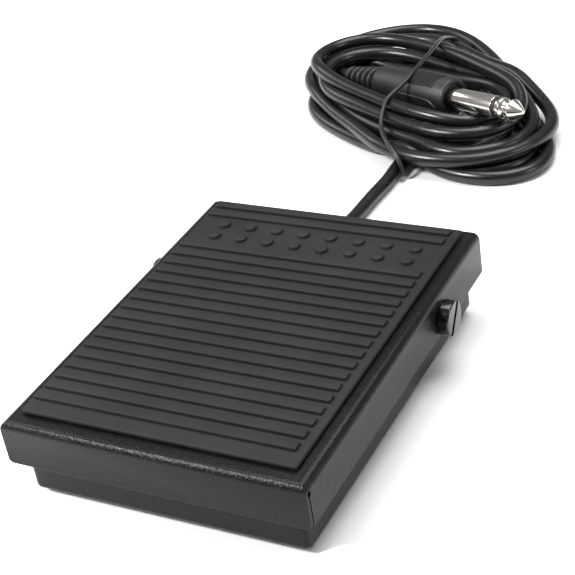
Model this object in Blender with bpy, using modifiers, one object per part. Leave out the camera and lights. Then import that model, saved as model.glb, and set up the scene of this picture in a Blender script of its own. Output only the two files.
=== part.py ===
"""Sustain pedal: a folded-sheet treadle hinged over a folded-sheet base tray, with its switch, cord and plug.

Metres, +Z up. The origin is on the floor under the middle of the treadle. The foot presses the -Y end and the
cord leaves at the +Y end. The treadle turns about a line along +X through PIVOT.
"""
import math

import bmesh
import bpy
from mathutils import Euler, Matrix, Vector

# Shared sizes
GAP = 0.0003
SHEET = 0.0012
BEND = 0.0018
PIVOT = Vector((0, 0.0236, 0.0144))
SMOOTH_ANGLE = math.radians(35)
SIDE_VIEW = (math.pi / 2, 0, math.pi / 2)  # turns an outline's x and y to world Y and Z

# Base tray and feet
FOOT_RADIUS, FOOT_HEIGHT = 0.006, 0.0009
FOOT_X, FOOT_Y = 0.026, 0.036
BASE_HALF_WIDTH = 0.0352
BASE_FRONT, BASE_REAR = -0.0473, 0.04775
BASE_BOTTOM = FOOT_HEIGHT + GAP
FLOOR = BASE_BOTTOM + SHEET
WALL_FRONT, WALL_PIVOT, WALL_REAR = 0.0127, 0.0190, 0.0182

# Treadle and mat
TREADLE_HALF_WIDTH, TREADLE_HALF_LENGTH = 0.03795, 0.050
TREADLE_TOP, FLANGE_BOTTOM = 0.02182, 0.01062
TREADLE_UNDER = TREADLE_TOP - SHEET
MAT_HALF_WIDTH, MAT_FRONT, MAT_REAR = 0.0343, -0.0458, 0.0483
MAT_SHEET, RIB_RISE, RIB_WIDTH = 0.0011, 0.0008, 0.0027
RIB_LEFT, RIB_RIGHT = -0.0337, 0.0321
RIB_PITCH, RIB_COUNT, LAST_FRONT_RIB = 0.0041456, 17, 0.02481
REAR_RIBS = (0.04028, 0.04439)
STUD_RADIUS, STUD_PITCH, STUD_COLUMNS, STUD_ROWS_Y = 0.0016, 0.0076, 8, (0.0312, 0.0367)

# Pivots
SHANK_RADIUS, PIVOT_HOLE = 0.0025, 0.0028
HEAD_RADIUS, HEAD_OUTER = 0.0044, 0.0410
SLOT_WIDTH, SLOT_DEPTH, SLOT_LEAN = 0.0013, 0.0015, math.radians(36)
NUT_FLAT, NUT_HEIGHT = 0.008, 0.004

# Return spring and stops
SPRING_Y, SPRING_RADIUS, SPRING_WIRE, SPRING_TURNS = -0.028, 0.0054, 0.0006, 6.5
CUP_RADIUS, CUP_HEIGHT, CUP_POST = 0.008, 0.0012, 0.0038
BUMPER_X, BUMPER_WIDTH = 0.020, 0.012
BUFFER_X, BUFFER_Y, BUFFER_RADIUS, BUFFER_TOP = 0.026, -0.038, 0.004, 0.0146

# Switch
SWITCH_X, SWITCH_Y = 0.012, -0.0016
SWITCH_SIZE = Vector((0.0058, 0.0128, 0.0065))
SWITCH_TOP = 0.0144
LEVER_PIVOT = Vector((SWITCH_X, 0.0036, 0.0149))
LEVER_LENGTH, LEVER_THICKNESS, LEVER_WIDTH = 0.0132, 0.0004, 0.0036
LEVER_REST = math.radians(13.4)
PLUNGER_Y, PLUNGER_RADIUS, PLUNGER_TOP, PLUNGER_LENGTH = 0.0004, 0.0008, 0.01495, 0.0025
ACTUATOR_Y, ACTUATOR_RADIUS, ACTUATOR_Z = -0.008, 0.0012, 0.0194
BRACKET_FOOT_X, BRACKET_HEIGHT, BRACKET_SHEET = 0.0250, 0.0139, 0.001
SMALL_HOLE, SMALL_SHANK = 0.0016, 0.0013
SWITCH_HOLE, SWITCH_HOLE_PITCH, SWITCH_HOLE_DEPTH = 0.0012, 0.0065, 0.0047
SWITCH_SCREW_HEAD, SWITCH_SCREW_SHANK = 0.0019, 0.0009
TERMINAL_PITCH, TERMINAL_LOW, TERMINAL_HALF_WIDTH, TERMINAL_HALF_SHEET = 0.00508, 0.0046, 0.0006, 0.00025
BRACKET_SCREW_X, BRACKET_SCREW_OFFSET = 0.0208, 0.0035

# Cord: its diameter, where it leaves, its route on the floor, and the coil's outline
CORD_RADIUS = 0.0021
CORD_EXIT = Vector((-0.012, 0.04985, 0.0092))
CORD_ROUTE = (
    (-0.0120, 0.04985, 0.0092), (-0.0120, 0.0560, 0.0089), (-0.0120, 0.0640, 0.0062),
    (-0.0120, 0.0720, 0.0034), (-0.0119, 0.0800, 0.0022), (-0.0115, 0.0920, 0.0022),
    (-0.0109, 0.1020, 0.0022), (-0.0110, 0.1100, 0.0022),
)
INNER_ROUTE = (
    (-0.012, 0.0495, 0.0092), (-0.012, 0.0430, 0.0090), (-0.012, 0.0370, 0.0060),
    (-0.012, 0.0325, 0.0048), (-0.012, 0.0260, 0.0048),
)
CLAMP_Y, CLAMP_SHEET, CLAMP_WIDTH, CLAMP_REACH, CLAMP_SCREW_OFFSET = 0.0295, 0.0009, 0.005, 0.0095, 0.0065
GROMMET_NECK, GROMMET_FLANGE, GROMMET_THICK = 0.0037, 0.0055, 0.0015
WIRE_RADIUS = 0.00065
COIL_CENTRE, COIL_HEADING = Vector((-0.0185, 0.1465, 0)), math.radians(-25)
COIL_HALF_LENGTH, COIL_HALF_WIDTH, COIL_ROUNDNESS = 0.056, 0.030, 2.4
COIL_TILT, COIL_SHIFT = math.radians(-12), Vector((0, 0.0035))
COIL_HEIGHT = 0.0117
HOLE_HALF_LENGTH, HOLE_HALF_WIDTH, HOLE_SHIFT = 0.040, 0.0106, 0.0009

# Plug, turned about a line from its tail to its tip
PLUG_TAIL, PLUG_RISE = Vector((-0.0470, 0.1560, 0.0074)), math.radians(7)
BOOT_LENGTH, BARREL_LENGTH, BARREL_RADIUS = 0.017, 0.0330, 0.00575
BOOT_TAIL_RADIUS, BOOT_FRONT_RADIUS, BOOT_RINGS, BOOT_PITCH = 0.0028, 0.0049, 5, 0.0031
SLEEVE_LENGTH, SLEEVE_RADIUS, INSULATOR_LENGTH = 0.0190, 0.003175, 0.0012
TIE_RADIUS = 0.0007
TIE_SHAPE = (  # across the coil, height
    (0.0376, 0.0010), (0.0378, 0.0070), (0.0372, 0.0122), (0.0340, 0.0137), (0.0240, 0.0138),
    (0.0120, 0.0144), (0.0035, 0.0170), (-0.0035, 0.0188), (-0.0100, 0.0168), (-0.0150, 0.0145),
    (-0.0230, 0.0138), (-0.0292, 0.0137), (-0.0320, 0.0122), (-0.0326, 0.0070), (-0.0324, 0.0010),
)
TIE_FAR, TIE_NEAR = -0.008, 0.015

COLOURS = {  # base colour, roughness, metallic
    "powder": ((0.030, 0.031, 0.034, 1), 0.55, 0.2),
    "rubber": ((0.045, 0.046, 0.050, 1), 0.75, 0.0),
    "black_steel": ((0.015, 0.015, 0.016, 1), 0.25, 0.8),
    "zinc": ((0.60, 0.61, 0.62, 1), 0.35, 1.0),
    "nickel": ((0.78, 0.75, 0.70, 1), 0.15, 1.0),
    "brass": ((0.72, 0.55, 0.25, 1), 0.30, 1.0),
    "nylon": ((0.75, 0.74, 0.70, 1), 0.50, 0.0),
    "plastic": ((0.020, 0.020, 0.022, 1), 0.50, 0.0),
    "cord": ((0.012, 0.012, 0.013, 1), 0.30, 0.0),
    "red_wire": ((0.45, 0.02, 0.02, 1), 0.40, 0.0),
    "white_wire": ((0.70, 0.70, 0.68, 1), 0.40, 0.0),
}

PARTS = None
CUTTERS = None


def clear_scene():
    """Remove whatever the scene holds and make the two collections."""
    global PARTS, CUTTERS
    for obj in list(bpy.data.objects):
        bpy.data.objects.remove(obj, do_unlink=True)
    PARTS = bpy.data.collections.new("sustain_pedal")
    CUTTERS = bpy.data.collections.new("cutters")
    for group in (PARTS, CUTTERS):
        bpy.context.scene.collection.children.link(group)


def coloured(obj, colour):
    """Give a part its own material and shade its round faces smooth."""
    base, roughness, metallic = COLOURS[colour]
    material = bpy.data.materials.new(f"{obj.name}_{colour}")
    material.use_nodes = True
    shader = material.node_tree.nodes["Principled BSDF"]
    shader.inputs["Base Color"].default_value = base
    shader.inputs["Roughness"].default_value = roughness
    shader.inputs["Metallic"].default_value = metallic
    obj.data.materials.clear()
    obj.data.materials.append(material)
    if obj.type == "MESH":
        obj.data.shade_smooth()
        obj.data.set_sharp_from_angle(angle=SMOOTH_ANGLE)
    return obj


def linked(name, data, group=None):
    """Make an object from mesh or curve data and link it."""
    obj = bpy.data.objects.new(name, data)
    (group or PARTS).objects.link(obj)
    return obj


def mesh_object(name, bm, group=None):
    """Turn a bmesh into an object."""
    mesh = bpy.data.meshes.new(name)
    bm.to_mesh(mesh)
    bm.free()
    return linked(name, mesh, group)


def block(name, low, high, group=None, bevel=0.0):
    """A box between two corners, with its edges bevelled if asked."""
    low, high = Vector(low), Vector(high)
    bm = bmesh.new()
    size = Matrix.Diagonal((high - low).to_4d())
    bmesh.ops.create_cube(bm, size=1, matrix=Matrix.Translation((low + high) / 2) @ size)
    obj = mesh_object(name, bm, group)
    if bevel:
        add_bevel(obj, bevel)
    return obj


def add_bevel(obj, width, segments=2):
    """Round an object's sharp edges."""
    bevel = obj.modifiers.new("bevel", "BEVEL")
    bevel.width = width
    bevel.segments = segments
    bevel.limit_method = "ANGLE"
    bevel.angle_limit = math.radians(40)


def rod(name, start, end, radius, group=None, sides=24):
    """A closed cylinder between two points."""
    start, end = Vector(start), Vector(end)
    bm = bmesh.new()
    bmesh.ops.create_cone(bm, cap_ends=True, segments=sides, radius1=radius, radius2=radius,
                          depth=(end - start).length)
    obj = mesh_object(name, bm, group)
    obj.location = (start + end) / 2
    obj.rotation_euler = (end - start).to_track_quat("Z", "Y").to_euler()
    return obj


def turned(name, profile, location, rotation=(0, 0, 0), steps=32):
    """A turned solid about its own Z: profile points are (radius, height), top to bottom down the outside."""
    mesh = bpy.data.meshes.new(name)
    mesh.from_pydata([(r, 0, z) for r, z in profile], [(i, i + 1) for i in range(len(profile) - 1)], [])
    obj = linked(name, mesh)
    screw = obj.modifiers.new("turn", "SCREW")
    screw.steps = steps
    screw.render_steps = steps
    screw.use_merge_vertices = True
    screw.merge_threshold = 0.00001
    obj.location = location
    obj.rotation_euler = rotation
    return obj


def turned_ring(name, inner, outer, height, location, rotation=(0, 0, 0), steps=28, ease=0.0002):
    """A turned ring about its own Z, from 0 to height, with eased outer edges."""
    profile = [(inner, height), (outer - ease, height), (outer, height - ease), (outer, ease),
               (outer - ease, 0), (inner, 0), (inner, height)]
    return turned(name, profile, location, rotation, steps)


def prism(name, outline, depth, location, rotation=(0, 0, 0), group=None):
    """A flat outline, with any holes after the first loop, extruded by depth about its own plane."""
    curve = bpy.data.curves.new(name, "CURVE")
    curve.dimensions = "2D"
    curve.fill_mode = "BOTH"
    curve.extrude = depth / 2
    curve.render_resolution_u = 0
    loops = outline if isinstance(outline[0][0], (tuple, list)) else [outline]
    for loop in loops:
        spline = curve.splines.new("POLY")
        spline.points.add(len(loop) - 1)
        for point, (x, y) in zip(spline.points, loop):
            point.co = (x, y, 0, 1)
        spline.use_cyclic_u = True
    obj = linked(name, curve, group)
    obj.location = location
    obj.rotation_euler = rotation
    return obj


def as_mesh(obj):
    """Replace a curve object by its welded mesh, so that it can take a Boolean."""
    bpy.context.view_layer.update()
    evaluated = obj.evaluated_get(bpy.context.evaluated_depsgraph_get())
    mesh = bpy.data.meshes.new_from_object(evaluated)
    bm = bmesh.new()
    bm.from_mesh(mesh)
    bmesh.ops.remove_doubles(bm, verts=bm.verts, dist=0.000001)
    bmesh.ops.recalc_face_normals(bm, faces=bm.faces)
    bm.to_mesh(mesh)
    bm.free()
    name, matrix = obj.name, obj.matrix_world.copy()
    group = obj.users_collection[0]
    bpy.data.objects.remove(obj, do_unlink=True)
    made = linked(name, mesh, group)
    made.matrix_world = matrix
    return made


def tube(name, points, radius, resolution=2):
    """A round wire or cord along points, with filled ends."""
    curve = bpy.data.curves.new(name, "CURVE")
    curve.dimensions = "3D"
    curve.bevel_depth = radius
    curve.bevel_resolution = resolution
    curve.use_fill_caps = True
    curve.render_resolution_u = 0
    spline = curve.splines.new("POLY")
    spline.points.add(len(points) - 1)
    for point, place in zip(spline.points, points):
        point.co = (*place, 1)
    return linked(name, curve)


def smooth_route(points, spacing):
    """Points about a spacing apart on a smooth curve through the given points."""
    knots = [Vector(p) for p in points]
    knots = [knots[0] * 2 - knots[1], *knots, knots[-1] * 2 - knots[-2]]
    route = []
    for a, b, c, d in zip(knots, knots[1:], knots[2:], knots[3:]):
        steps = max(1, round((c - b).length / spacing))
        for i in range(steps):
            t = i / steps
            route.append(0.5 * (2 * b + (c - a) * t + (2 * a - 5 * b + 4 * c - d) * t ** 2
                                + (3 * b - a - 3 * c + d) * t ** 3))
    return [*route, knots[-2]]


def boolean(obj, tool, operation):
    """Cut a tool from an object, or join it on."""
    tool.hide_render = True
    tool.display_type = "WIRE"
    modifier = obj.modifiers.new(f"{operation.lower()}_{tool.name}", "BOOLEAN")
    modifier.operation = operation
    modifier.solver = "EXACT"
    modifier.object = tool


def arc(centre, radius, start, end, steps):
    """Points on an arc, angles in degrees."""
    angles = (math.radians(start + (end - start) * i / steps) for i in range(steps + 1))
    return [(centre[0] + radius * math.cos(a), centre[1] + radius * math.sin(a)) for a in angles]


def folded_shell(name, low, high, dropped, bend, square_corners=False):
    """A box of sheet metal that lacks the dropped sides, given by their outward directions.

    With square corners, the upright edges aren't bent.
    """
    low, high = Vector(low), Vector(high)
    bm = bmesh.new()
    size = Matrix.Diagonal((high - low).to_4d())
    bmesh.ops.create_cube(bm, size=1, matrix=Matrix.Translation((low + high) / 2) @ size)
    bm.normal_update()
    open_sides = [f for f in bm.faces if any(f.normal.dot(Vector(d)) > 0.9 for d in dropped)]
    bmesh.ops.delete(bm, geom=open_sides, context="FACES")
    weight = bm.edges.layers.float.new("bevel_weight_edge")
    for edge in bm.edges:
        upright = abs(edge.verts[0].co.z - edge.verts[1].co.z) > SHEET
        edge[weight] = 0.0 if edge.is_boundary or (upright and square_corners) else 1.0
    obj = mesh_object(name, bm)
    add_bevel(obj, bend, segments=3)
    obj.modifiers["bevel"].limit_method = "WEIGHT"
    solid = obj.modifiers.new("sheet", "SOLIDIFY")
    solid.thickness = SHEET
    solid.offset = -1
    solid.use_even_offset = True
    return obj


def pivot_hole_tool():
    """The cutter that goes through both walls and both flanges on the pivot line."""
    reach = Vector((0.06, 0, 0))
    return rod("pivot_hole_tool", PIVOT - reach, PIVOT + reach, PIVOT_HOLE, CUTTERS)


def base_tray(pivot_tool):
    """The open tray, its walls sloping up to the pivots, and its holes."""
    tray = folded_shell("base_tray", (-BASE_HALF_WIDTH, BASE_FRONT, BASE_BOTTOM),
                        (BASE_HALF_WIDTH, BASE_REAR, 0.022), [(0, 0, 1)], BEND)
    slope = [(-0.060, WALL_FRONT), (-0.046, WALL_FRONT), (PIVOT.y - 0.004, WALL_PIVOT),
             (PIVOT.y + 0.004, WALL_PIVOT), (0.045, WALL_REAR), (0.060, WALL_REAR), (0.060, 0.03),
             (-0.060, 0.03)]
    wedge = prism("wall_slope_tool", slope, 0.1, (0, 0, 0), SIDE_VIEW, CUTTERS)
    boolean(tray, as_mesh(wedge), "DIFFERENCE")
    boolean(tray, pivot_tool, "DIFFERENCE")
    inward = Vector((CORD_EXIT.x, 0.040, CORD_EXIT.z))
    boolean(tray, rod("cord_hole_tool", inward, inward + Vector((0, 0.02, 0)), 0.0040, CUTTERS),
            "DIFFERENCE")
    for i, (x, y) in enumerate(floor_screw_places()):
        hole = rod(f"floor_hole_tool_{i}", (x, y, -0.001), (x, y, 0.0032), SMALL_HOLE, CUTTERS)
        boolean(tray, hole, "DIFFERENCE")
    return coloured(tray, "powder")


def floor_screw_places():
    """Where the bracket's two screws and the cord clamp's screw go through the floor."""
    middle = SWITCH_Y
    return [(BRACKET_SCREW_X, middle - BRACKET_SCREW_OFFSET), (BRACKET_SCREW_X, middle + BRACKET_SCREW_OFFSET),
            (CORD_EXIT.x + CLAMP_SCREW_OFFSET, CLAMP_Y)]


def feet():
    """Four thin round rubber feet."""
    profile = [(0, FOOT_HEIGHT), (FOOT_RADIUS - 0.0003, FOOT_HEIGHT), (FOOT_RADIUS, FOOT_HEIGHT - 0.0003),
               (FOOT_RADIUS, 0.0002), (FOOT_RADIUS - 0.0002, 0), (0, 0)]
    for end, y in (("front", -FOOT_Y), ("rear", FOOT_Y)):
        for side, x in (("left", -FOOT_X), ("right", FOOT_X)):
            coloured(turned(f"foot_{end}_{side}", profile, (x, y, 0)), "rubber")


def treadle(pivot_tool):
    """The folded top with its front and side flanges, a seam and a relief notch at each front corner."""
    width, length = TREADLE_HALF_WIDTH, TREADLE_HALF_LENGTH
    top = folded_shell("treadle", (-width, -length, FLANGE_BOTTOM), (width, length, TREADLE_TOP),
                       [(0, 0, -1), (0, 1, 0)], BEND, square_corners=True)
    boolean(top, pivot_tool, "DIFFERENCE")
    back = -length + SHEET
    for side in (-1, 1):
        inner, outer = side * (width - SHEET - 0.0006), side * (width + 0.001)
        low_x, high_x = min(inner, outer), max(inner, outer)
        seam = block(f"seam_tool_{side}", (low_x, back, FLANGE_BOTTOM - 0.001),
                     (high_x, back + 0.0004, TREADLE_TOP - 0.0028), CUTTERS)
        relief = block(f"relief_tool_{side}", (low_x, back - 0.0003, TREADLE_TOP - 0.0032),
                       (high_x, back + 0.0009, TREADLE_TOP - 0.0019), CUTTERS)
        boolean(top, seam, "DIFFERENCE")
        boolean(top, relief, "DIFFERENCE")
    return coloured(top, "powder")


def treadle_mat():
    """The rubber mat: a sheet, cross ribs and two rows of round grip studs."""
    low = TREADLE_TOP + GAP
    crown = low + MAT_SHEET + RIB_RISE
    mat = block("treadle_mat", (-MAT_HALF_WIDTH, MAT_FRONT, low), (MAT_HALF_WIDTH, MAT_REAR, low + MAT_SHEET),
                bevel=0.0003)
    fronts = [LAST_FRONT_RIB - RIB_PITCH * i for i in range(RIB_COUNT - 1, -1, -1)] + list(REAR_RIBS)
    root = low + MAT_SHEET / 2
    valley = low + MAT_SHEET - 0.0001
    outline = [(fronts[-1] + RIB_WIDTH, root), (fronts[0], root), (fronts[0], crown)]
    for y, following in zip(fronts, fronts[1:]):
        outline += [(y + RIB_WIDTH, crown), (y + RIB_WIDTH, valley), (following, valley), (following, crown)]
    outline.append((fronts[-1] + RIB_WIDTH, crown))
    comb = prism("rib_tool", outline, RIB_RIGHT - RIB_LEFT, ((RIB_LEFT + RIB_RIGHT) / 2, 0, 0),
                 SIDE_VIEW, CUTTERS)
    boolean(mat, as_mesh(comb), "UNION")
    bm = bmesh.new()
    for y in STUD_ROWS_Y:
        for i in range(STUD_COLUMNS):
            x = (i - (STUD_COLUMNS - 1) / 2) * STUD_PITCH
            place = Matrix.Translation((x, y, (root + crown) / 2))
            bmesh.ops.create_cone(bm, cap_ends=True, segments=12, radius1=STUD_RADIUS,
                                  radius2=STUD_RADIUS * 0.85, depth=crown - root, matrix=place)
    boolean(mat, mesh_object("stud_tool", bm, CUTTERS), "UNION")
    return coloured(mat, "rubber")


def pivots():
    """A slotted cheese-head screw, a nylon washer and a nut on each side."""
    inner_face = BASE_HALF_WIDTH - SHEET
    washer = TREADLE_HALF_WIDTH - SHEET - BASE_HALF_WIDTH - 2 * GAP
    slot_reach = HEAD_RADIUS + 0.001
    for side, sign in (("left", -1), ("right", 1)):
        turn = (0, sign * math.pi / 2, 0)
        head_inner = TREADLE_HALF_WIDTH + GAP
        end = inner_face - GAP - NUT_HEIGHT - 0.0009
        profile = [(0, HEAD_OUTER), (HEAD_RADIUS - 0.0005, HEAD_OUTER), (HEAD_RADIUS, HEAD_OUTER - 0.0004),
                   (HEAD_RADIUS, head_inner), (SHANK_RADIUS, head_inner), (SHANK_RADIUS, end + 0.0004),
                   (SHANK_RADIUS - 0.0004, end), (0, end)]
        screw = turned(f"pivot_screw_{side}", profile, (0, PIVOT.y, PIVOT.z), turn)
        slot = block(f"slot_tool_{side}", (HEAD_OUTER - SLOT_DEPTH, -SLOT_WIDTH / 2, -slot_reach),
                     (HEAD_OUTER + 0.001, SLOT_WIDTH / 2, slot_reach), CUTTERS)
        slot.rotation_euler = (-SLOT_LEAN, 0, 0 if side == "right" else math.pi)
        slot.location = (0, PIVOT.y, PIVOT.z)
        boolean(screw, slot, "DIFFERENCE")
        coloured(screw, "black_steel")
        coloured(turned_ring(f"pivot_washer_{side}", PIVOT_HOLE, 0.0045, washer,
                             (sign * (BASE_HALF_WIDTH + GAP), PIVOT.y, PIVOT.z), turn), "nylon")
        middle = sign * (inner_face - GAP - NUT_HEIGHT / 2)
        corner = NUT_FLAT / math.sqrt(3)
        loops = [arc((0, 0), corner, 0, 300, 5), arc((0, 0), PIVOT_HOLE, 0, 345, 23)]
        nut = prism(f"pivot_nut_{side}", loops, NUT_HEIGHT, (middle, PIVOT.y, PIVOT.z), turn)
        coloured(nut, "zinc")


def return_spring():
    """The compression spring between a seat on the floor and a cup under the treadle."""
    seat_top = FLOOR + GAP + CUP_HEIGHT
    cup_low = TREADLE_UNDER - GAP - CUP_HEIGHT
    profile = [(0, CUP_HEIGHT + 0.003), (CUP_POST - 0.0006, CUP_HEIGHT + 0.003),
               (CUP_POST, CUP_HEIGHT + 0.0024), (CUP_POST, CUP_HEIGHT), (CUP_RADIUS, CUP_HEIGHT),
               (CUP_RADIUS, 0), (0, 0)]
    seat = turned("spring_seat", profile, (0, SPRING_Y, FLOOR + GAP))
    coloured(seat, "plastic")
    cup = turned("spring_cup", profile, (0, SPRING_Y, TREADLE_UNDER - GAP), (math.pi, 0, 0))
    coloured(cup, "zinc")
    low = seat_top + GAP + SPRING_WIRE
    high = cup_low - GAP - SPRING_WIRE
    per_turn = 16
    count = round(SPRING_TURNS * per_turn)
    points = []
    for i in range(count + 1):
        angle = 2 * math.pi * i / per_turn
        rise = min(max((i / per_turn - 0.75) / (SPRING_TURNS - 1.5), 0), 1)
        ground = 0.0009 * (min(i / per_turn, 0.75) - 0.75 + max(i / per_turn - SPRING_TURNS + 0.75, 0)) / 0.75
        z = low + 0.0009 + (high - low - 0.0018) * rise + ground
        points.append((SPRING_RADIUS * math.cos(angle), SPRING_Y + SPRING_RADIUS * math.sin(angle), z))
    coloured(tube("return_spring", points, SPRING_WIRE), "zinc")


def stops():
    """Two bumpers on the rear wall's edge, where the treadle rests, and two buffers where it ends."""
    inner, outer = BASE_REAR - SHEET, BASE_REAR
    top = TREADLE_UNDER - GAP
    rim = WALL_REAR
    outline = [(outer + GAP, rim - 0.003), (outer + 0.0014, rim - 0.003), (outer + 0.0014, top - 0.0006),
               (outer + 0.0008, top), (inner - 0.0008, top), (inner - 0.0014, top - 0.0006),
               (inner - 0.0014, rim - 0.003), (inner - GAP, rim - 0.003), (inner - GAP, rim + GAP),
               (outer + GAP, rim + GAP)]
    profile = [(0, BUFFER_TOP), (BUFFER_RADIUS - 0.0012, BUFFER_TOP), (BUFFER_RADIUS - 0.0004, BUFFER_TOP - 0.0008),
               (BUFFER_RADIUS, FLOOR + GAP), (0, FLOOR + GAP)]
    for side, sign in (("left", -1), ("right", 1)):
        bumper = prism(f"rear_bumper_{side}", outline, BUMPER_WIDTH, (sign * BUMPER_X, 0, 0),
                       SIDE_VIEW)
        coloured(bumper, "rubber")
        coloured(turned(f"stop_buffer_{side}", profile, (sign * BUFFER_X, BUFFER_Y, 0)), "rubber")


def small_screw(name, under_head, end, place, rotation=(0, 0, 0), head=0.0026, shank=SMALL_SHANK):
    """A pan-head screw about its own Z, from its end up to its head."""
    tall = 0.0017
    profile = [(0, under_head + tall), (head * 0.6, under_head + tall), (head * 0.93, under_head + tall * 0.6),
               (head, under_head), (shank, under_head), (shank, end + 0.0003), (shank - 0.0003, end), (0, end)]
    return coloured(turned(name, profile, place, rotation, 20), "zinc")


def switch():
    """The microswitch on its bracket, with its screws, plunger, lever, terminals and the treadle's ridge."""
    low = Vector((SWITCH_X, SWITCH_Y, SWITCH_TOP)) - Vector((SWITCH_SIZE.x / 2, SWITCH_SIZE.y / 2, SWITCH_SIZE.z))
    high = low + SWITCH_SIZE
    screw_y = [SWITCH_Y - SWITCH_HOLE_PITCH / 2, SWITCH_Y + SWITCH_HOLE_PITCH / 2]
    screw_z = SWITCH_TOP - SWITCH_HOLE_DEPTH
    side_tools = [rod(f"side_hole_tool_{i}", (low.x - SHEET, y, screw_z), (high.x + 4 * SHEET, y, screw_z),
                      SWITCH_HOLE, CUTTERS, 16)
                  for i, y in enumerate(screw_y)]
    body = block("switch_body", low, high)
    for tool in side_tools:
        boolean(body, tool, "DIFFERENCE")
    pocket = rod("plunger_pocket_tool", (SWITCH_X, PLUNGER_Y, SWITCH_TOP - 0.0032),
                 (SWITCH_X, PLUNGER_Y, SWITCH_TOP + 0.001), PLUNGER_RADIUS + GAP, CUTTERS, 20)
    boolean(body, pocket, "DIFFERENCE")
    across = Vector((0.01, 0, 0))
    cradle = rod("cradle_tool", LEVER_PIVOT - across, LEVER_PIVOT + across, 0.0008, CUTTERS, 20)
    boolean(body, cradle, "DIFFERENCE")
    coloured(body, "plastic")

    plate = high.x + GAP
    sheet = BRACKET_SHEET
    foot = FLOOR + GAP
    outline = [(plate, foot), (BRACKET_FOOT_X, foot), (BRACKET_FOOT_X, foot + sheet), (plate + sheet, foot + sheet),
               (plate + sheet, BRACKET_HEIGHT), (plate, BRACKET_HEIGHT)]
    bracket = as_mesh(prism("switch_bracket", outline, SWITCH_SIZE.y, (0, SWITCH_Y, 0), (math.pi / 2, 0, 0)))
    for tool in side_tools:
        boolean(bracket, tool, "DIFFERENCE")
    for i, (x, y) in enumerate(floor_screw_places()[:2]):
        boolean(bracket, rod(f"foot_hole_tool_{i}", (x, y, 0.001), (x, y, 0.006), SMALL_HOLE, CUTTERS, 16),
                "DIFFERENCE")
        small_screw(f"bracket_screw_{i + 1}", foot + sheet + GAP, BASE_BOTTOM + 0.0001, (x, y, 0))
        small_screw(f"switch_screw_{i + 1}", plate + sheet + GAP - SWITCH_X, low.x - SWITCH_X + 0.0004,
                    (SWITCH_X, screw_y[i], screw_z), (0, math.pi / 2, 0), SWITCH_SCREW_HEAD, SWITCH_SCREW_SHANK)
    coloured(bracket, "zinc")

    profile = [(0, PLUNGER_LENGTH), (PLUNGER_RADIUS * 0.6, PLUNGER_LENGTH),
               (PLUNGER_RADIUS, PLUNGER_LENGTH - 0.0003), (PLUNGER_RADIUS, 0), (0, 0)]
    plunger = turned("switch_plunger", profile, (SWITCH_X, PLUNGER_Y, PLUNGER_TOP - PLUNGER_LENGTH), steps=20)
    coloured(plunger, "nylon")

    half = LEVER_THICKNESS / 2
    roll = 0.00045
    strip = [(-LEVER_LENGTH, half), (-LEVER_LENGTH, -half)] + arc((0, 0), roll, 206.4, 513.6, 14)
    raised = Matrix.Rotation(-LEVER_REST, 3, "X") @ Euler(SIDE_VIEW).to_matrix()
    lever = prism("switch_lever", strip, LEVER_WIDTH, LEVER_PIVOT, raised.to_euler())
    coloured(lever, "zinc")

    for i, word in enumerate(("closed", "open", "common")):
        y = SWITCH_Y + (i - 1) * TERMINAL_PITCH
        blade = block(f"switch_terminal_{word}",
                      (SWITCH_X - TERMINAL_HALF_WIDTH, y - TERMINAL_HALF_SHEET, TERMINAL_LOW),
                      (SWITCH_X + TERMINAL_HALF_WIDTH, y + TERMINAL_HALF_SHEET, low.z - GAP))
        coloured(blade, "brass")

    top = TREADLE_UNDER - GAP
    round_end = arc((ACTUATOR_Y, ACTUATOR_Z), ACTUATOR_RADIUS, 180, 360, 14)
    outline = [(ACTUATOR_Y - ACTUATOR_RADIUS, top), *round_end, (ACTUATOR_Y + ACTUATOR_RADIUS, top)]
    ridge = prism("actuator", outline, LEVER_WIDTH, (SWITCH_X, 0, 0), SIDE_VIEW)
    coloured(ridge, "nylon")


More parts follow.
